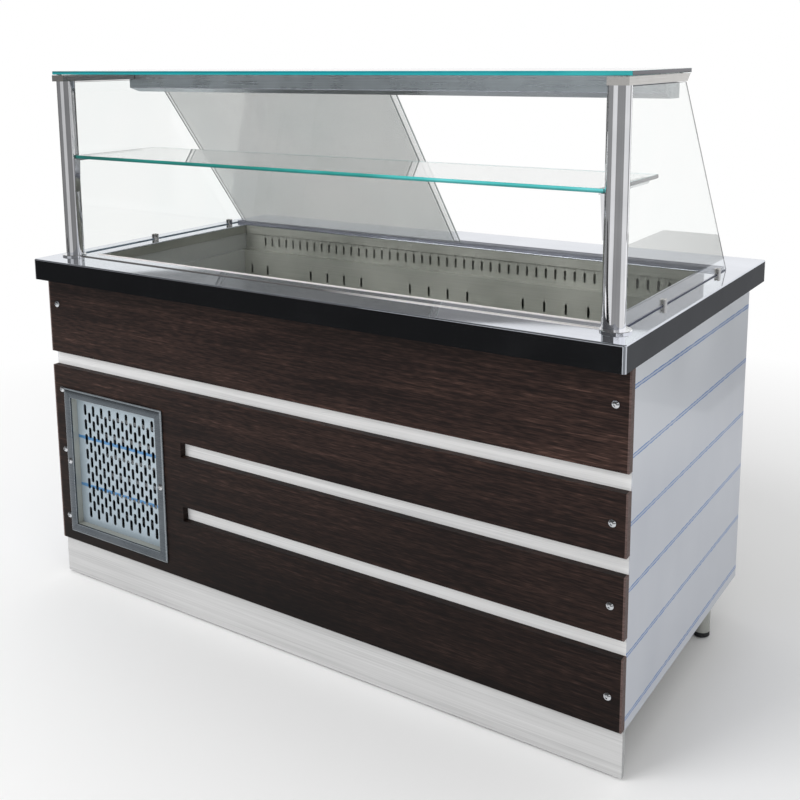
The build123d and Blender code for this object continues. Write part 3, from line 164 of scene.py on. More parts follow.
trackLook = {  # grey anodised aluminium extrusion with drawing lines
    "light": "#a5a7b2", "dark": "#8f929c", "metallic": 0.6, "roughness": (0.26, 0.38),
    "lines": (300, 1.2, 1.2), "lineShare": 0.6, "lineDepth": 0.01, "smudge": 80,
}
chromeLook = {  # bright nickel-chrome plate on the screws
    "light": "#d9dbde", "dark": "#c2c5c9", "roughness": (0.05, 0.12),
    "lines": (3.0, 3.0, 3.0), "lineShare": 0.4, "lineDepth": 0.002, "smudge": 12,
}
finLook = {  # mill-finish aluminium fins and blades
    "light": "#c4c6c8", "dark": "#a5a8ab", "roughness": (0.3, 0.45),
    "lines": (4.0, 4.0, 40.0), "lineShare": 0.5, "lineDepth": 0.01, "smudge": 30,
}
brassLook = {  # forged and turned brass
    "light": "#c9a35c", "dark": "#a8823f", "roughness": (0.22, 0.36),
    "lines": (6.0, 6.0, 2.0), "lineShare": 0.4, "lineDepth": 0.01, "smudge": 15,
}
steelLooks = {
    "polishedSteel": polishedSteelLook, "postSteel": postSteelLook, "satinSteel": satinSteelLook,
    "wellSteel": wellSteelLook, "litWellEndSteel": litWellEndLook, "paintedEdgeHighlight": paintedEdgeHighlightLook,
    "pressedBead": beadLook, "housingSteel": housingSteelLook, "frameSteel": frameSteelLook,
    "frameRimHighlight": frameRimHighlightLook, "armSteel": armSteelLook, "anodisedTrack": trackLook,
    "screwChrome": chromeLook, "millAluminium": finLook, "turnedBrass": brassLook,
}
steels = {name: makeSteel(name, look) for name, look in steelLooks.items()}


def makeFilmedSteel(name, look):  # sheet still in its milky protective film, with the film's blue guide lines
    material, tree, place = newMaterial(name)
    height = addNode(tree, "SeparateXYZ", (place,)).outputs["Z"]
    aboveFirst = addNode(tree, "Math", (height, -look["firstLine"] / 1000), operation="ADD")
    folded = addNode(tree, "Math", (aboveFirst, look["pitch"] / 2000), operation="PINGPONG")  # 0 on each line
    away = addNode(tree, "Math", (folded, 1000.0), operation="MULTIPLY")  # millimetres from the nearest line
    worn = grainNoise(tree, place, look["wear"], 2.0, 3)
    wide, fuzz = look["lineWidth"], look["fuzz"]
    reach = addNode(tree, "MapRange", (worn, *look["wearSpan"], wide * look["wornShare"], wide))
    edge = addNode(tree, "Math", (away, reach), operation="SUBTRACT")
    ink = addNode(tree, "MapRange", (edge, fuzz, -fuzz, 0.0, 1.0))
    core = [wide * share for share in look["core"]]  # the line's paler middle
    middle = addNode(tree, "MapRange", (away, *core, look["middleShare"], 1.0))
    inked = addNode(tree, "Math", (ink, middle), operation="MULTIPLY")
    cloud = grainNoise(tree, place, look["cloud"])
    milk = addNode(tree, "ValToRGB", (cloud,), twoTones(cloudSpan, look))
    # painted light: towards the top the milky tone turns into the top tone, against the shade under the
    # worktop
    upper = addNode(tree, "MapRange", (height, *look["paler"], 0.0, 1.0))
    skin = addNode(tree, "MixRGB", (upper, milk, linear(look["top"])))
    tone = addNode(tree, "MixRGB", (inked, skin, linear(look["line"])))
    rough = addNode(tree, "MapRange", (cloud, *noiseSpan, *look["roughness"]))
    ripple = grainNoise(tree, place, look["ripple"], 2.0, 5)
    depth = look["rippleDepth"] / 1000
    bump = addNode(tree, "Bump", {"Height": ripple, "Distance": depth, "Strength": bumpStrength["grain"]})
    shader = addNode(tree, "BsdfPrincipled", {
        "Base Color": tone, "Metallic": look["metallic"], "Roughness": rough,
        "Coat Weight": look["coat"], "Normal": bump,
    })
    addNode(tree, "OutputMaterial", (shader,))
    return material


filmSkin = {  # polyethylene film laid on steel: milky, a little rippled, its print worn
    "wear": (20, 14, 60), "wearSpan": (0.35, 0.6), "wornShare": 0.75, "fuzz": 0.3, "core": (0.35, 0.5),
    "cloud": (260, 260, 420), "ripple": (60, 60, 90), "rippleDepth": 0.05, "coat": 0.15,
    "roughness": (0.3, 0.42),
}
sidePanelFilmLook = {
    # the paler top tone is painted light under the worktop's overhang
    **filmSkin, "light": "#c2c6ce", "dark": "#b5bac4", "top": "#d9dde2", "paler": (0.5, 0.85),
    "line": "#4a78b6", "metallic": 0.25,
    "firstLine": 120, "pitch": 125, "lineWidth": 4.6, "middleShare": 0.3,
}
grilleFilmLook = {
    **filmSkin, "light": "#aebbc4", "dark": "#9dabb5", "top": "#a8b6bf", "paler": (0.3, 0.5),
    "line": "#4c82b2", "metallic": 0.35,
    "firstLine": 124, "pitch": 126, "lineWidth": 4.5, "middleShare": 1.0,
}
makeFilmedSteel("filmedSidePanel", sidePanelFilmLook)
makeFilmedSteel("filmedGrilleSheet", grilleFilmLook)


# boards


def makeBoard(name, look):  # melamine-faced board: printed grain along X, a plainer band round the ends
    material, tree, place = newMaterial(name)
    broad = grainNoise(tree, place, look["broad"], 4.0)
    streak = grainNoise(tree, place, look["streak"], 3.0, 4)
    pore = grainNoise(tree, place, look["pore"], 1.0, 9)
    body = addNode(tree, "MixRGB", (look["streakShare"], broad, streak))
    figure = addNode(tree, "MixRGB", (look["poreShare"], body, pore))
    decor = addNode(tree, "ValToRGB", (figure,), look["stops"])
    split = addNode(tree, "SeparateXYZ", (place,)).outputs
    fromMiddle = addNode(tree, "Math", (split["X"],), operation="ABSOLUTE")
    end, blend = look["end"] / 1000, look["endBlend"] / 1000
    isEnd = addNode(tree, "MapRange", (fromMiddle, end - blend, end, 0.0, 1.0))
    # painted shade darker towards the bottom, painted light lighter towards the right
    lower = addNode(tree, "MapRange", (split["Z"], *look["heights"], look["paintedShadeLow"], 1.0))
    rightLight = addNode(tree, "MapRange", (split["X"], *look["lengths"], 1.0, look["paintedLightRight"]))
    level = addNode(tree, "Math", (lower, rightLight), operation="MULTIPLY")
    shaded = addNode(tree, "MixRGB", (1.0, decor, level), blend_type="MULTIPLY")
    band = addNode(tree, "ValToRGB", (pore,), look["edgeStops"])
    tone = addNode(tree, "MixRGB", (isEnd, shaded, band))
    rough = addNode(tree, "MapRange", (figure, *noiseSpan, *look["roughness"]))
    depth = look["poreDepth"] / 1000
    bump = addNode(tree, "Bump", {"Height": figure, "Distance": depth, "Strength": bumpStrength["grain"]})
    shader = addNode(tree, "BsdfPrincipled", {
        "Base Color": tone, "Roughness": rough, "Specular IOR Level": look["gloss"], "Normal": bump,
    })
    addNode(tree, "OutputMaterial", (shader,))
    return material


wengeLook = {  # dark wenge decor, satin, with short lighter flecks; pores drawn coarse enough to show
    "broad": (520, 60, 46), "streak": (170, 30, 5.5), "pore": (26, 10, 2.2),
    "streakShare": 0.55, "poreShare": 0.4, "gloss": 0.13, "roughness": (0.4, 0.54), "poreDepth": 0.05,
    "stops": [(0.3, "#100a09"), (0.45, "#1e1412"), (0.58, "#33241f"), (0.72, "#57413a")],
    "end": 744.5, "endBlend": 0.4, "edgeStops": [(0.35, "#51433f"), (0.65, "#665552")],
    # painted shade towards the bottom and painted light towards the right
    "heights": (0.12, 0.62), "paintedShadeLow": 0.36, "lengths": (0.1, 0.75), "paintedLightRight": 1.3,
}
whiteBoardLook = {  # bleached pine-white decor with thin grey lines
    "broad": (700, 80, 60), "streak": (420, 40, 7.5), "pore": (240, 20, 2.6),
    "streakShare": 0.6, "poreShare": 0.35, "gloss": 0.4, "roughness": (0.34, 0.48), "poreDepth": 0.03,
    "stops": [(0.3, "#c6c6c7"), (0.45, "#dcdcdc"), (0.58, "#e5e5e5"), (0.72, "#ebebeb")],
    "end": 747.6, "endBlend": 0.4, "edgeStops": [(0.35, "#9d9f9f"), (0.65, "#aeb0b0")],
    "heights": (0.0, 0.1), "paintedShadeLow": 1.0, "lengths": (-0.75, 0.75), "paintedLightRight": 1.0,
}
plinthLook = {  # the same decor in darker tones; painted shade towards the floor, painted light towards the right
    **whiteBoardLook, "paintedShadeLow": 0.94, "paintedLightRight": 1.06,
    "stops": [(0.3, "#a8a8a9"), (0.45, "#bdbdbd"), (0.58, "#c8c8c8"), (0.72, "#cfcfcf")],
}
makeBoard("wengeBoard", wengeLook)
makeBoard("whiteBoard", whiteBoardLook)
makeBoard("plinthBoard", plinthLook)


# glass and film


def makeClearGlass(look):  # float glass: clear faces that let lamps through
    material, tree, place = newMaterial("floatGlass")
    cloud = grainNoise(tree, place, (look["cloud"],) * 3, 2.0)
    tone = addNode(tree, "ValToRGB", (cloud,), twoTones(noiseSpan, look))
    shader = addNode(tree, "BsdfPrincipled", {
        "Base Color": tone, "Transmission Weight": 1.0, "IOR": look["ior"], "Roughness": look["roughness"],
    })
    clear = addNode(tree, "BsdfTransparent", {"Color": linear(look["light"])})
    isShadow = addNode(tree, "LightPath").outputs["Is Shadow Ray"]
    mixed = addNode(tree, "MixShader", (isShadow, shader, clear))
    addNode(tree, "OutputMaterial", (mixed,))
    return material


cutEdge = {  # ground and polished edge of a sheet; lengths in metres, the rest are shares
    "lengths": (-0.72, 0.72), "litShareRight": 0.7, "lowSpan": (0.35, 0.6), "ior": 1.5, "roughness": 0.12,
}


def makeGlassEdge(name, look):  # polished edge: a toned colour with painted light in it, brighter from the left end to the right
    material, tree, place = newMaterial(name)
    along = addNode(tree, "SeparateXYZ", (place,)).outputs["X"]
    share = addNode(tree, "MapRange", (along, *cutEdge["lengths"], 0.0, cutEdge["litShareRight"]))
    run = grainNoise(tree, place, (look["patch"],) * 3)
    wander = addNode(tree, "Math", (run, look["wander"], share), operation="MULTIPLY_ADD")
    tone = addNode(tree, "ValToRGB", (wander,), look["stops"])
    rise = addNode(tree, "Attribute", attribute_name="rise").outputs["Fac"]  # 0 under the sheet, 1 on top
    # painted light: the lower half of the edge takes the low tone
    lower = addNode(tree, "MapRange", (rise, *cutEdge["lowSpan"], look["paintedLowShare"], 0.0))
    mixed = addNode(tree, "MixRGB", (lower, tone, linear(look["low"])))
    shader = addNode(tree, "BsdfPrincipled", {
        "Base Color": mixed, "Roughness": cutEdge["roughness"], "IOR": cutEdge["ior"],
        "Specular IOR Level": look["gloss"],
    })
    addNode(tree, "OutputMaterial", (shader,))
    return material


def makePaneFilm(look):  # loose-laid protective film: milky, creased a little, see-through
    material, tree, place = newMaterial("protectiveFilm")
    cloud = grainNoise(tree, place, look["cloud"])
    tone = addNode(tree, "ValToRGB", (cloud,), twoTones(cloudSpan, look))
    crease = grainNoise(tree, place, look["crease"], 3.0, 2)
    depth = look["creaseDepth"] / 1000
    bump = addNode(tree, "Bump", {"Height": crease, "Distance": depth, "Strength": bumpStrength["grain"]})
    shader = addNode(tree, "BsdfPrincipled", {
        "Base Color": tone, "Alpha": look["alpha"], "Roughness": look["roughness"], "Normal": bump,
    })
    addNode(tree, "OutputMaterial", (shader,))
    return material


floatGlassLook = {"light": "#fefffe", "dark": "#fafdfc", "cloud": 300, "ior": 1.5, "roughness": 0.0}
glassEdgeLooks = {
    "topGlassEdge": {
        "stops": [(0.25, "#2b6569"), (0.5, "#12737b"), (0.75, "#15808a"), (1.0, "#349c9f")],
        "patch": 110, "wander": 0.6, "low": "#2fb0b2", "paintedLowShare": 0.4, "gloss": 0.15,
    },
    "shelfEdge": {
        "stops": [(0.2, "#1c564f"), (0.5, "#25837b"), (0.75, "#4bb9b8"), (0.95, "#93e8ee")],
        "patch": 140, "wander": 0.4, "low": "#1b5a57", "paintedLowShare": 0.6, "gloss": 0.3,
    },
    "sheetEdge": {  # ends and end panes: painted shade, nearly black, as seen along the sheet
        "stops": [(0.3, "#43474d"), (0.9, "#55535c")],
        "patch": 80, "wander": 0.5, "low": "#3c4348", "paintedLowShare": 0.5, "gloss": 0.3,
    },
    "paneEdge": {  # sliding panes: a pale tone painted for the film seen through the edge
        "stops": [(0.3, "#bcc2c2"), (0.9, "#c9cecf")],
        "patch": 80, "wander": 0.5, "low": "#aeb5b5", "paintedLowShare": 0.5, "gloss": 0.3,
    },
}
paneFilmLook = {
    "light": "#b4b0b2", "dark": "#a6a2a4", "alpha": 0.15, "roughness": 0.42,
    "cloud": (150, 150, 220), "crease": (40, 40, 120), "creaseDepth": 0.25,
}
floatGlass = makeClearGlass(floatGlassLook)
glassEdges = {name: makeGlassEdge(name, look) for name, look in glassEdgeLooks.items()}
paneFilm = makePaneFilm(paneFilmLook)


# plastics, paint and foam


def makeMoulded(name, look):  # moulded or sprayed skin: fine grain in the gloss, slight unevenness of colour
    material, tree, place = newMaterial(name)
    grain = grainNoise(tree, place, (look["grain"],) * 3, 2.0)
    cloud = grainNoise(tree, place, (look["cloud"],) * 3, 2.0, 6)
    tone = addNode(tree, "ValToRGB", (cloud,), twoTones(cloudSpan, look))
    rough = addNode(tree, "MapRange", (grain, *noiseSpan, *look["roughness"]))
    depth = look["depth"] / 1000
    bump = addNode(tree, "Bump", {"Height": grain, "Distance": depth, "Strength": bumpStrength["grain"]})
    shader = addNode(tree, "BsdfPrincipled", {"Base Color": tone, "Roughness": rough, "Normal": bump})
    addNode(tree, "OutputMaterial", (shader,))
    return material


mouldedLooks = {
    "blackAbs": {
        "light": "#26272a", "dark": "#1b1c1e",
        "grain": 1.2, "cloud": 20, "roughness": (0.4, 0.55), "depth": 0.05,
    },
    "blackEnamel": {
        "light": "#1e1f21", "dark": "#141516",
        "grain": 4, "cloud": 60, "roughness": (0.25, 0.4), "depth": 0.04,
    },
    "footRubber": {
        "light": "#202123", "dark": "#17181a",
        "grain": 2, "cloud": 15, "roughness": (0.6, 0.75), "depth": 0.06,
    },
    "greenPolycarbonate": {
        "light": "#2f9a4c", "dark": "#24823e",
        "grain": 2, "cloud": 12, "roughness": (0.12, 0.2), "depth": 0.01,
    },
    "ivoryAbs": {
        "light": "#dcd8c8", "dark": "#cfcab8",
        "grain": 1.2, "cloud": 12, "roughness": (0.35, 0.5), "depth": 0.03,
    },
    "redVinyl": {
        "light": "#b5302b", "dark": "#992520",
        "grain": 1.5, "cloud": 14, "roughness": (0.35, 0.5), "depth": 0.05,
    },
    "polyurethaneFoam": {
        "light": "#d9c58f", "dark": "#c2ab72",
        "grain": 1.5, "cloud": 30, "roughness": (0.8, 0.95), "depth": 0.4,
    },
    "opalLamp": {
        "light": "#eef0ee", "dark": "#e4e7e5",
        "grain": 8, "cloud": 80, "roughness": (0.2, 0.3), "depth": 0.01,
    },
    "smokedWindow": {
        "light": "#14090a", "dark": "#0c0606",
        "grain": 6, "cloud": 20, "roughness": (0.06, 0.12), "depth": 0.005,
    },
    "unlitSegment": {
        "light": "#4a1d1c", "dark": "#3d1716",
        "grain": 2, "cloud": 8, "roughness": (0.3, 0.4), "depth": 0.005,
    },
    "greySeal": {
        "light": "#5d6378", "dark": "#4d5266",
        "grain": 2, "cloud": 60, "roughness": (0.4, 0.55), "depth": 0.02,
    },
    "paleSeal": {
        "light": "#a3b4c2", "dark": "#93a4b2",
        "grain": 2, "cloud": 60, "roughness": (0.4, 0.55), "depth": 0.02,
    },
    "clearBumper": {
        "light": "#d5dad9", "dark": "#c4cac9",
        "grain": 2, "cloud": 8, "roughness": (0.2, 0.3), "depth": 0.01,
    },
}
moulded = {name: makeMoulded(name, look) for name, look in mouldedLooks.items()}
print("materials made:", len(bpy.data.materials))

finishes = {  # which material each CAD node carries
    "polishedSteel": ["worktop"],
    "postSteel": ["left_post", "right_post", "shelf_brackets"],
    "armSteel": ["top_arms", "side_glass_clamps"],
    "satinSteel": [
        "base_frame", "base_floor", "partition", "service_panel", "rear_panel", "control_panel",
        "left_door", "right_door", "door_hinges",
    ],
    "wellSteel": ["well_tub", "well_floor", "right_well_wall", "front_air_panel", "rear_air_panel"],
    "litWellEndSteel": ["left_well_wall"],
    "housingSteel": ["light_housing"],
    "frameSteel": ["grille_frame"],
    "anodisedTrack": ["bottom_track", "top_track"],
    "screwChrome": ["front_screws"],
    "millAluminium": ["evaporator_coil", "evaporator_fan", "condenser_coil"],
    "turnedBrass": ["drain_valve"],
    "filmedSidePanel": ["left_side_panel", "right_side_panel"],
    "filmedGrilleSheet": ["grille_sheet"],
    "wengeBoard": ["upper_front_panel", "lower_front_panel"],
    "whiteBoard": ["backing_board"],
    "plinthBoard": ["plinth_board"],
    "floatGlass": [
        "top_glass", "mid_shelf", "left_side_glass", "right_side_glass", "front_pane", "rear_pane",
    ],
    "blackAbs": ["condenser_fan", "thermostat", "switch_frames", "up_button", "down_button"],
    "blackEnamel": ["compressor", "fan_shroud", "fan_motor"],
    "footRubber": ["front_left_foot", "front_right_foot", "rear_left_foot", "rear_right_foot"],
    "greenPolycarbonate": ["power_switch"],
    "ivoryAbs": ["light_switch"],
    "redVinyl": ["drain_lever"],
    "polyurethaneFoam": ["well_insulation"],
    "opalLamp": ["light_tube"],
}
for finish, carriers in finishes.items():
    for carrier in carriers:
        for slot in nodes[carrier].material_slots:
            slot.material = bpy.data.materials[finish]
print("finishes laid on", sum(len(c) for c in finishes.values()), "nodes")


def addObject(name, bm, materials):
    mesh = bpy.data.meshes.new(name)
    bm.to_mesh(mesh)
    bm.free()
    for material in materials:
        mesh.materials.append(material)
    made = bpy.data.objects.new(name, mesh)
    bpy.context.scene.collection.objects.link(made)
    return made


def addPiece(name, bm, materials, body, replaced=(), sharp=35):
    piece = addObject(name, bm, materials)
    piece.data.shade_smooth()
    piece.data.set_sharp_from_angle(angle=math.radians(sharp))
    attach(piece, body)
    if replaced:
        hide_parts(*replaced)


def bevelled(bm, edges, width, steps):
    bmesh.ops.bevel(
        bm, geom=edges, offset=width / 1000, offset_type="OFFSET", affect="EDGES",
        segments=steps, profile=0.5, material=-1, clamp_overlap=True,
    )


def addBox(bm, low, high):  # a block between two corners in millimetres, returns its vertices
    verts = bmesh.ops.create_cube(bm, size=1.0)["verts"]
    low, high = metres(*low), metres(*high)
    bmesh.ops.scale(bm, vec=high - low, verts=verts)
    bmesh.ops.translate(bm, vec=(low + high) / 2, verts=verts)
    return verts


def vertsOf(geom):
    return [item for item in geom if isinstance(item, bmesh.types.BMVert)]


def pushFaces(bm, faces, through):  # faces drawn out into a solid
    pushed = bmesh.ops.extrude_face_region(bm, geom=faces)["geom"]
    bmesh.ops.translate(bm, vec=through, verts=vertsOf(pushed))


def slab(outline, through):  # a sheet from its outline, pushed through by its thickness
    bm = bmesh.new()
    pushFaces(bm, [bm.faces.new([bm.verts.new(point) for point in outline])], through)
    bmesh.ops.recalc_face_normals(bm, faces=bm.faces[:])
    return bm


# glass

glassSheets = {  # the lean is that of the sliding panes and of the end panes' rear edges, in degrees
    "arris": 1.0, "arrisSteps": 2, "pad": 1.5, "paneThickness": 5.0, "lean": 37.58,
    "faceCosine": 0.99, "endCosine": 0.7,
}
lean = math.radians(glassSheets["lean"])


def addGlass(name, outline, through, body, replaced, longEdge, endEdge):  # clear faces, toned arrissed edges
    bm = slab(outline, through)
    bevelled(bm, bm.edges[:], glassSheets["arris"], glassSheets["arrisSteps"])
    across = through.normalized()
    start = Vector(outline[0])
    rise = bm.verts.layers.float.new("rise")
    for v in bm.verts:
        v[rise] = (v.co - start).dot(across) / through.length
    for face in bm.faces:
        isFace = abs(face.normal.dot(across)) > glassSheets["faceCosine"]
        isEnd = abs(face.normal.x) > glassSheets["endCosine"]
        face.material_index = 0 if isFace else 2 if isEnd else 1
    materials = [floatGlass, glassEdges[longEdge], glassEdges[endEdge]]
    addPiece(name, bm, materials, body, replaced, 20)


def flatOutline(low, high, level):
    return [(low.x, low.y, level), (high.x, low.y, level), (high.x, high.y, level), (low.x, high.y, level)]


low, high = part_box("top_glass")
padHeight = glassSheets["pad"] / 1000
thick = Vector((0, 0, high.z - low.z - padHeight))
outline = flatOutline(low, high, low.z + padHeight)
addGlass("topShelfGlass", outline, thick, "counter", ["top_glass"], "topGlassEdge", "sheetEdge")
low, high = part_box("mid_shelf")
thick = Vector((0, 0, high.z - low.z))
outline = flatOutline(low, high, low.z)
addGlass("middleShelfGlass", outline, thick, "counter", ["mid_shelf"], "shelfEdge", "sheetEdge")

endSeal = {  # how far the pane comes down to its seal, and the seal round the pane's foot
    "drop": 4.4, "proud": 0.2, "below": 0.5, "above": 1.6, "short": 6, "edge": 0.15, "edgeSteps": 2,
}
for name, node, seal in (
    ("leftEndGlass", "left_side_glass", "paleSeal"), ("rightEndGlass", "right_side_glass", "greySeal"),
):
    low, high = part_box(node)
    low.z -= endSeal["drop"] / 1000
    slant = math.tan(lean) * (high.z - low.z)
    profile = ((low.y, low.z), (high.y, low.z), (high.y - slant, high.z), (low.y, high.z))
    outline = [(low.x, y, z) for y, z in profile]
    addGlass(name, outline, Vector((high.x - low.x, 0, 0)), "counter", [node], "sheetEdge", "sheetEdge")
    bm = bmesh.new()
    x0, x1, y0, y1, z0 = [1000 * v for v in (low.x, high.x, low.y, high.y, low.z)]
    foot = (x0 - endSeal["proud"], y0, z0 - endSeal["below"])
    head = (x1 + endSeal["proud"], y1 - endSeal["short"], z0 + endSeal["above"])
    addBox(bm, foot, head)
    bevelled(bm, bm.edges[:], endSeal["edge"], endSeal["edgeSteps"])
    addPiece(name + "Seal", bm, [moulded[seal]], "counter")

filmSheet = {"margin": 2.5, "gap": 0.1, "thickness": 0.2}
up = Vector((0, -math.sin(lean), math.cos(lean)))  # along a sliding pane, from the track upwards
back = Vector((0, math.cos(lean), math.sin(lean)))  # through the pane, to the staff side
for name, node in (("frontSlidingPane", "front_pane"), ("rearSlidingPane", "rear_pane")):
    low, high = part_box(node)
    thickness = glassSheets["paneThickness"] / 1000
    tall = (high.z - low.z - thickness * back.z) / up.z
    start = Vector((low.x, high.y - thickness * back.y, low.z))
    wide = Vector((high.x - low.x, 0, 0))
    outline = [start, start + wide, start + wide + up * tall, start + up * tall]
    addGlass(name, outline, back * thickness, node, [node], "paneEdge", "paneEdge")
    margin = filmSheet["margin"] / 1000
    lift = back * -(filmSheet["gap"] + filmSheet["thickness"]) / 1000
    aside, above = Vector((margin, 0, 0)), up * margin
    inset = [
        start + aside + above, start + wide - aside + above,
        start + wide - aside + up * tall - above, start + aside + up * tall - above,
    ]
    bm = slab([point + lift for point in inset], back * filmSheet["thickness"] / 1000)
    addPiece(name + "Film", bm, [paneFilm], node)

bumpers = {"radius": 6, "fromEdge": 12, "places": (-365, -91), "steps": 24}
bm = bmesh.new()
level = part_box("top_glass")[0].z
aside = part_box("top_arms")[1].x - bumpers["fromEdge"] / 1000
for side in (-1, 1):
    for place in bumpers["places"]:
        ring = bmesh.ops.create_circle(
            bm, cap_ends=True, radius=bumpers["radius"] / 1000, segments=bumpers["steps"],
        )["verts"]
        bmesh.ops.translate(bm, vec=(side * aside, place / 1000, level), verts=ring)
        pushFaces(bm, [ring[0].link_faces[0]], (0, 0, padHeight))
bmesh.ops.recalc_face_normals(bm, faces=bm.faces[:])
addPiece("glassBumpers", bm, [moulded["clearBumper"]], "counter", ["top_glass"])
print("glass hung")

# grille frame

grilleFrame = {
    "face": 22, "front": -407, "back": -402, "mitreGap": 0.35, "outerBevel": 3.0, "outerSteps": 3,
    "innerBevel": 1.0, "innerSteps": 2, "collarDepth": 38, "collarWall": 1.2,
    "near": 1, "alongCosine": 0.9, "highlightCosines": (0.2, 0.98),
}


def addGrilleFrame(look):  # four mitred bars with a hairline at each corner, and the collar behind them
    low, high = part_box("grille_frame")
    left, right, bottom, top = [1000 * v for v in (low.x, high.x, low.z, high.z)]
    face, near = look["face"], look["near"]
    bm = bmesh.new()
    for axis, edge, inward, start, end in (
        (0, top, -1, left, right), (0, bottom, 1, left, right),
        (2, left, 1, bottom, top), (2, right, -1, bottom, top),
    ):
        inner = edge + inward * face
        low3, high3 = [0, look["front"], 0], [0, look["back"], 0]
        low3[axis], high3[axis] = start, end
        low3[2 - axis], high3[2 - axis] = min(edge, inner), max(edge, inner)
        verts = addBox(bm, low3, high3)
        for v in verts:  # cut the ends to 45 degrees
            depth = abs(v.co[2 - axis] * 1000 - edge) + look["mitreGap"]
            v.co[axis] += math.copysign(depth / 1000, (start + end) / 2000 - v.co[axis])
        edges = list(dict.fromkeys(e for v in verts for e in v.link_edges))
        front = [e for e in edges if all(v.co.y * 1000 < look["front"] + near for v in e.verts)]
        ways = [(e.verts[0].co - e.verts[1].co).normalized() for e in front]
        long = [e for e, way in zip(front, ways) if abs(way[axis]) > look["alongCosine"]]
        rim = [e for e in long if all(abs(v.co[2 - axis] * 1000 - edge) < near for v in e.verts)]
        lip = [e for e in long if e not in rim]
        bevelled(bm, rim, look["outerBevel"], look["outerSteps"])
        bevelled(bm, lip, look["innerBevel"], look["innerSteps"])
    x0, x1, z0, z1 = left + face, right - face, bottom + face, top - face
    inside = ((x0, z0), (x1, z0), (x1, z1), (x0, z1))
    corners = [bm.verts.new(metres(x, look["back"], z)) for x, z in inside]
    loop = [bm.edges.new(pair) for pair in zip(corners, corners[1:] + corners[:1])]
    walls = bmesh.ops.extrude_edge_only(bm, edges=loop)["geom"]
    bmesh.ops.translate(bm, vec=metres(0, look["collarDepth"], 0), verts=vertsOf(walls))
    sheet = [f for f in walls if isinstance(f, bmesh.types.BMFace)]
    bmesh.ops.recalc_face_normals(bm, faces=sheet)
    for wall in sheet:
        wall.material_index = 1
    bmesh.ops.solidify(bm, geom=sheet, thickness=-look["collarWall"] / 1000)
    bm.normal_update()
    flattest, steepest = look["highlightCosines"]
    for skin in bm.faces:  # rounded edges take the lighter copy: painted highlight
        if flattest < abs(skin.normal.y) < steepest:
            skin.material_index = 2
    materials = [steels["frameSteel"], steels["wellSteel"], steels["frameRimHighlight"]]
    addPiece("grilleFrame", bm, materials, "counter", ["grille_frame"], 30)


addGrilleFrame(grilleFrame)
print("grille framed")

# opening of the well

rolledEdge = {
    "left": -655, "right": 655, "front": -317, "rear": 235, "top": 830.0,
    "radius": 1.9, "sunk": 1.3, "steps": 12, "skin": 0.3, "lipTop": 828.5, "lipBottom": 805.2,
}
frontBead = {"width": 6.6, "centre": 829.9, "height": 2.4, "steps": 24}
frontRoll = {"place": -316.0, "width": 7.6, "centre": 828.9, "height": 2.9, "steps": 24}


def aroundCircle(steps):  # cosine and sine of each step
    turns = [2 * math.pi * step / steps for step in range(steps)]
    return [(math.cos(turn), math.sin(turn)) for turn in turns]


def addRolledEdge(look):  # the worktop's sheet is rolled over where it turns down into the well
    bm = bmesh.new()
    loops = []
    for cosine, sine in aroundCircle(look["steps"]):
        out, rise = look["radius"] * cosine, look["top"] - look["sunk"] + look["radius"] * sine
        left, right = look["left"] - out, look["right"] + out
        front, rear = look["front"] - out, look["rear"] + out
        corners = ((left, front), (right, front), (right, rear), (left, rear))
        loops.append([bm.verts.new(metres(x, y, rise)) for x, y in corners])
    for a, b in zip(loops, loops[1:] + loops[:1]):
        for i in range(4):
            j = (i + 1) % 4
            side = bm.faces.new((a[i], a[j], b[j], b[i]))
            side.material_index = 1 if i == 0 else 0  # the front side carries the painted highlight
    bmesh.ops.recalc_face_normals(bm, faces=bm.faces[:])
    materials = [steels["polishedSteel"], steels["paintedEdgeHighlight"]]
    addPiece("openingRolledEdge", bm, materials, "counter", (), 50)


def addOpeningLip(look):  # satin inner face of the lip under the rolled edge
    bm = bmesh.new()
    left, right, front, rear, skin = [look[key] for key in ("left", "right", "front", "rear", "skin")]
    for low, high in (
        ((left, front), (right, front + skin)), ((left, rear - skin), (right, rear)),
        ((left, front + skin), (left + skin, rear - skin)),
        ((right - skin, front + skin), (right, rear - skin)),
    ):
        addBox(bm, (*low, look["lipBottom"]), (*high, look["lipTop"]))
    addPiece("openingLip", bm, [steels["wellSteel"]], "counter")


def addFrontLine(name, look, left, right, middle, material):  # round bar lying in the sheet
    outline = []
    for cosine, sine in aroundCircle(look["steps"]):
        across, rise = look["width"] / 2 * cosine, look["centre"] + look["height"] * sine
        outline.append((left, middle + across / 1000, rise / 1000))
    bm = slab(outline, Vector((right - left, 0, 0)))
    addPiece(name, bm, [material], "counter", (), 50)


addRolledEdge(rolledEdge)
addOpeningLip(rolledEdge)
leftFlange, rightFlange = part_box("left_post"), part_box("right_post")
beadLine = (leftFlange[0].y + leftFlange[1].y) / 2
addFrontLine("frontBead", frontBead, leftFlange[1].x, rightFlange[0].x, beadLine, steels["pressedBead"])
leftEnd, rightEnd = rolledEdge["left"] / 1000, rolledEdge["right"] / 1000
addFrontLine("frontRoll", frontRoll, leftEnd, rightEnd, frontRoll["place"] / 1000, steels["paintedEdgeHighlight"])
print("opening rolled")

# screws

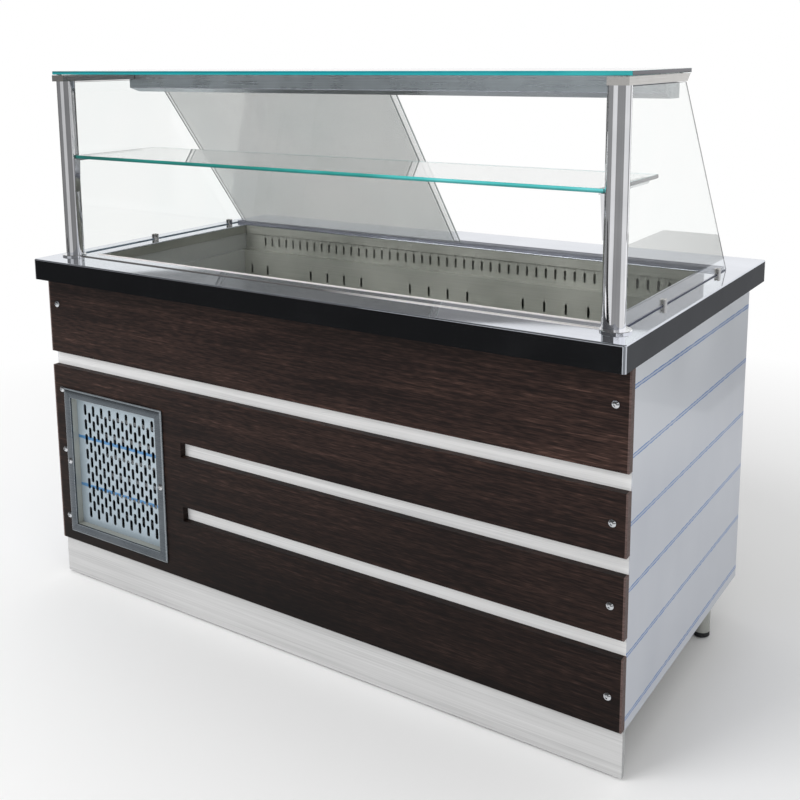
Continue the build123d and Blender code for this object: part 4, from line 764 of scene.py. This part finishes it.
screwSizes = {
    "panel": {"radius": 8.0, "height": 5.0, "rim": 0.8, "socket": 2.4, "socketDepth": 2.2, "steps": 32},
    "small": {"radius": 7.8, "height": 4.6, "rim": 0.6, "socket": 2.0, "socketDepth": 1.8, "steps": 28},
    "rear": {"radius": 4.0, "height": 2.4, "rim": 0.5, "socket": 1.3, "socketDepth": 1.0, "steps": 24},
}
screwDome = {"steps": 5, "weld": 0.01}
lidScrews = [(x, z) for z in (139, 365, 391, 476) for x in (-735, -372)]
panelRow = [(x, 499) for x in (-700, -350, 0, 350, 700)]
screwPlaces = {  # size, plane of the heads, places across and up
    "panelScrews": ("panel", -402, [(side * 720, z) for side in (-1, 1) for z in (713, 496, 340, 164)]),
    "grilleScrews": ("small", -407, [(-700, 314), (-387, 314)]),
    "rearScrews": ("rear", 318, lidScrews + panelRow),
}


def addScrew(bm, size, place, outwards):  # button head: dome, narrow rim and a round driving socket
    tall, wide, socket = size["height"], size["radius"], size["socket"]
    arch = tall - size["rim"]
    dome = (wide ** 2 + arch ** 2) / (2 * arch)  # radius of the dome
    floor = tall - size["socketDepth"]
    points = [(0, floor), (socket, floor)]
    start, stop = math.asin(socket / dome), math.asin(min(1, wide / dome))
    for step in range(screwDome["steps"] + 1):
        turn = start + (stop - start) * step / screwDome["steps"]
        points.append((dome * math.sin(turn), tall - dome + dome * math.cos(turn)))
    points.append((wide, 0))
    verts = [bm.verts.new(metres(r, outwards * h, 0)) for r, h in points]
    edges = [bm.edges.new(pair) for pair in zip(verts, verts[1:])]
    turned = bmesh.ops.spin(
        bm, geom=verts + edges, cent=(0, 0, 0), axis=(0, 1, 0), angle=2 * math.pi,
        steps=size["steps"], use_merge=True,
    )
    made = set(verts + vertsOf(turned["geom_last"]))
    grown = set(made)
    while made:  # everything joined to the profile belongs to this screw
        made = {e.other_vert(v) for v in made for e in v.link_edges} - grown
        grown |= made
    bmesh.ops.translate(bm, vec=metres(*place), verts=list(grown))


for name, (kind, plane, places) in screwPlaces.items():
    bm = bmesh.new()
    for x, z in places:
        addScrew(bm, screwSizes[kind], (x, plane, z), -1 if plane < 0 else 1)
    bmesh.ops.remove_doubles(bm, verts=bm.verts[:], dist=screwDome["weld"] / 1000)
    bmesh.ops.recalc_face_normals(bm, faces=bm.faces[:])
    replaced = ["front_screws"] if plane < 0 else []
    addPiece(name, bm, [steels["screwChrome"]], "counter", replaced, 40)
print("screws driven")

# painted shade at the lamp housing's fold, window and digits of the controller

housingFoldShade = {"radius": 0.9, "frontHeight": 21.5, "inset": 0.5, "steps": 12}  # darker bar where the front plate meets the bottom tray: painted shade
low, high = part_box("light_housing")
seamY = low.y + housingFoldShade["inset"] / 1000
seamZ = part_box("top_arms")[0].z + (housingFoldShade["inset"] - housingFoldShade["frontHeight"]) / 1000
bm = bmesh.new()
ring = bmesh.ops.create_circle(
    bm, cap_ends=True, radius=housingFoldShade["radius"] / 1000, segments=housingFoldShade["steps"],
)["verts"]
bmesh.ops.rotate(bm, matrix=Matrix.Rotation(math.pi / 2, 3, "Y"), verts=ring)
bmesh.ops.translate(bm, vec=(low.x, seamY, seamZ), verts=ring)
pushFaces(bm, bm.faces[:], (high.x - low.x, 0, 0))
bmesh.ops.recalc_face_normals(bm, faces=bm.faces[:])
addPiece("housingFoldShade", bm, [steels["anodisedTrack"]], "counter")

displayWindow = {
    "centre": (-631.8, 433.3), "width": 39.4, "height": 17.4, "back": 322.0, "front": 322.8,
    "edge": 0.3, "edgeSteps": 2,
}
bm = bmesh.new()
cx, cz = displayWindow["centre"]
wide, tall = displayWindow["width"] / 2, displayWindow["height"] / 2
inner, outer = displayWindow["back"], displayWindow["front"]
addBox(bm, (cx - wide, inner, cz - tall), (cx + wide, outer, cz + tall))
bevelled(bm, bm.edges[:], displayWindow["edge"], displayWindow["edgeSteps"])
addPiece("displayWindow", bm, [moulded["smokedWindow"]], "counter")

segments = {"digits": (-8.5, 8.5), "wide": 7.0, "tall": 11.0, "bar": 1.3, "gap": 0.25, "proud": 0.1}
bm = bmesh.new()
wide, tall, bar = [segments[key] / 2 for key in ("wide", "tall", "bar")]
clear = bar + segments["gap"]  # each bar stops short of its neighbours
for digit in segments["digits"]:
    x = cx + digit
    bars = [(x - wide + clear, x + wide - clear, cz + z - bar, cz + z + bar) for z in (-tall, 0, tall)]
    for upright in (x - wide, x + wide):
        for z in (cz - tall, cz):
            bars.append((upright - bar, upright + bar, z + clear, z + tall - clear))
    for x0, x1, z0, z1 in bars:
        addBox(bm, (x0, outer, z0), (x1, outer + segments["proud"], z1))
addPiece("displaySegments", bm, [moulded["unlitSegment"]], "counter")
print("controls dressed")

# stage

stageLook = {  # in metres
    "floor": "#f4f4f4", "roughness": 0.9, "size": 60, "drop": 0.001, "shadowReach": (1.2, 2.6), "level": 0.82,
}


def seenRays(tree):  # 1 for what is seen straight, mirrored or through glass
    path = addNode(tree, "LightPath").outputs
    seen = addNode(tree, "Math", (path["Is Camera Ray"], path["Is Glossy Ray"]), operation="MAXIMUM")
    return addNode(tree, "Math", (seen, path["Is Transmission Ray"]), operation="MAXIMUM")


def makeFloor(look):  # pale floor that fades to pure white away from the object
    material, tree, place = newMaterial("studioFloor")
    shader = addNode(tree, "BsdfPrincipled", {
        "Base Color": linear(look["floor"]), "Roughness": look["roughness"],
    })
    glow = addNode(tree, "Emission", {"Color": (1, 1, 1, 1), "Strength": 1.0})
    away = addNode(tree, "VectorMath", (place,), operation="LENGTH").outputs["Value"]
    fade = addNode(tree, "MapRange", (away, *look["shadowReach"], 0.0, 1.0))
    mixed = addNode(tree, "MixShader", (fade, shader, glow))
    final = addNode(tree, "MixShader", (seenRays(tree), shader, mixed))
    addNode(tree, "OutputMaterial", (final,))
    return material


bm = bmesh.new()
verts = bmesh.ops.create_grid(bm, x_segments=1, y_segments=1, size=stageLook["size"] / 2)["verts"]
bmesh.ops.translate(bm, vec=(0, 0, -stageLook["drop"]), verts=verts)
floor = addObject("studioFloor", bm, [makeFloor(stageLook)])

hall = {  # plain dim room round the stage, seen only in reflections; degrees, metres
    "radius": 6.0, "facet": 3.0, "lift": 0.02,
    "tones": {"pale": "#e0e0e0", "grey": "#909090", "dim": "#585858", "dark": "#202020"},
    "walls": [  # from, to, low, high, tone
        (-180, -120, 0.0, 2.2, "grey"), (-120, -80, 0.0, 2.2, "pale"), (-80, -15, 0.0, 2.2, "grey"),
        (-15, 35, 0.0, 1.6, "pale"), (35, 50, 0.0, 1.2, "grey"), (80, 180, 0.0, 1.2, "dim"),
        (-180, -60, 2.2, 5.0, "dim"), (100, 150, 2.0, 2.5, "grey"), (105, 180, 3.0, 5.0, "pale"),
    ],
    "wedges": [  # of the floor: from, to, inner and outer radius, tone
        (-180, -120, 3.6, 6.0, "grey"), (-120, -80, 3.6, 6.0, "pale"), (-80, -15, 2.9, 6.0, "grey"),
        (-15, 35, 2.9, 6.0, "pale"), (80, 180, 3.0, 6.0, "dim"),
    ],
    "floor": [  # left, right, near, far, tone: a runner before the counter and one behind its right end
        (-6.0, 0.0, -3.5, -2.5, "dark"), (1.2, 2.6, 1.6, 5.4, "dim"),
    ],
    "ceiling": [  # left, right, near, far, height, tone
        (-7.0, 6.0, -7.0, -0.5, 5.0, "dim"), (-7.0, 6.0, -0.5, 6.0, 5.0, "grey"),
    ],
}


def makeHall():  # glowing cards that only mirrors see, also where a reflection passes through glass
    material, tree = newMaterial("dimHall")[:2]
    tone = addNode(tree, "Attribute", attribute_name="tone").outputs["Color"]
    glow = addNode(tree, "Emission", {"Color": tone, "Strength": 1.0})
    clear = addNode(tree, "BsdfTransparent")
    mirrors = addNode(tree, "LightPath").outputs["Glossy Depth"]
    isMirrored = addNode(tree, "Math", (mirrors, 0.5), operation="GREATER_THAN")
    mixed = addNode(tree, "MixShader", (isMirrored, clear, glow))
    addNode(tree, "OutputMaterial", (mixed,))
    return material


def addHall(look):
    bm = bmesh.new()
    paint = bm.loops.layers.float_color.new("tone")

    def lay(corners, tone):
        face = bm.faces.new([bm.verts.new(corner) for corner in corners])
        for loop in face.loops:
            loop[paint] = linear(look["tones"][tone])

    def layFlat(left, right, near, far, height, tone):
        corners = ((left, near), (right, near), (right, far), (left, far))
        lay([(x, y, height) for x, y in corners], tone)

    def around(start, end):  # pairs of directions, one for each facet
        count = math.ceil((end - start) / look["facet"])
        turns = [math.radians(start + (end - start) * i / count) for i in range(count + 1)]
        ways = [Vector((math.cos(turn), math.sin(turn), 0)) for turn in turns]
        return zip(ways, ways[1:])

    for start, end, low, high, tone in look["walls"]:
        foot, head = Vector((0, 0, low)), Vector((0, 0, high))
        for a, b in around(start, end):
            a, b = a * look["radius"], b * look["radius"]
            lay((a + foot, b + foot, b + head, a + head), tone)
    raised = Vector((0, 0, look["lift"]))
    for start, end, inner, outer, tone in look["wedges"]:
        for a, b in around(start, end):
            ring = (a * inner, a * outer, b * outer, b * inner)
            lay([corner + raised for corner in ring], tone)
    for left, right, near, far, tone in look["floor"]:
        layFlat(left, right, near, far, 2 * look["lift"], tone)  # above the wedges
    for card in look["ceiling"]:
        layFlat(*card)
    shell = addObject("dimHall", bm, [makeHall()])
    shell.visible_camera = False
    shell.visible_diffuse = False
    shell.visible_shadow = False


addHall(hall)

world = bpy.data.worlds.new("studioWorld")
world.use_nodes = True
worldTree = world.node_tree
worldTree.nodes.clear()
level = addNode(worldTree, "MapRange", (seenRays(worldTree), 0.0, 1.0, stageLook["level"], 1.0))
sky = addNode(worldTree, "Background", {"Color": (1, 1, 1, 1), "Strength": level})
addNode(worldTree, "OutputWorld", (sky,))
bpy.context.scene.world = world

keyLamp = {"place": (-1.6, -3.2, 3.2), "aim": (0, 0, 0.7), "size": 2.4, "watts": 90}
lamp = bpy.data.lights.new("keyLamp", "AREA")
lamp.energy = keyLamp["watts"]
lamp.size = keyLamp["size"]
holder = bpy.data.objects.new("keyLamp", lamp)
holder.location = keyLamp["place"]
beam = Vector(keyLamp["aim"]) - Vector(keyLamp["place"])
holder.rotation_euler = beam.to_track_quat("-Z", "Y").to_euler()
bpy.context.scene.collection.objects.link(holder)
holder.visible_glossy = False

photoCamera = {  # as solved from the photo: metres, degrees, millimetres
    "place": (1.3711, -2.0943, 1.3088), "turn": 34.18, "dip": -9.8, "roll": -0.63,
    "lens": 48.31, "sensor": 36, "shift": (0.0331, -0.1999),
}
turn, dip, roll = [math.radians(photoCamera[key]) for key in ("turn", "dip", "roll")]
forward = Vector((-math.sin(turn) * math.cos(dip), math.cos(turn) * math.cos(dip), math.sin(dip)))
right = forward.cross(Vector((0, 0, 1))).normalized()
upward = right.cross(forward)
rolledRight = math.cos(roll) * right + math.sin(roll) * upward
rolledUp = -math.sin(roll) * right + math.cos(roll) * upward
camera = bpy.data.cameras.new("photoCamera")
camera.sensor_width = photoCamera["sensor"]
camera.lens = photoCamera["lens"]
camera.shift_x, camera.shift_y = photoCamera["shift"]
eye = bpy.data.objects.new("photoCamera", camera)
axes = Matrix((rolledRight, rolledUp, -forward)).transposed().to_4x4()
eye.matrix_world = Matrix.Translation(photoCamera["place"]) @ axes
bpy.context.scene.collection.objects.link(eye)
bpy.context.scene.camera = eye
bpy.context.scene.view_settings.view_transform = "Standard"
print("stage set")
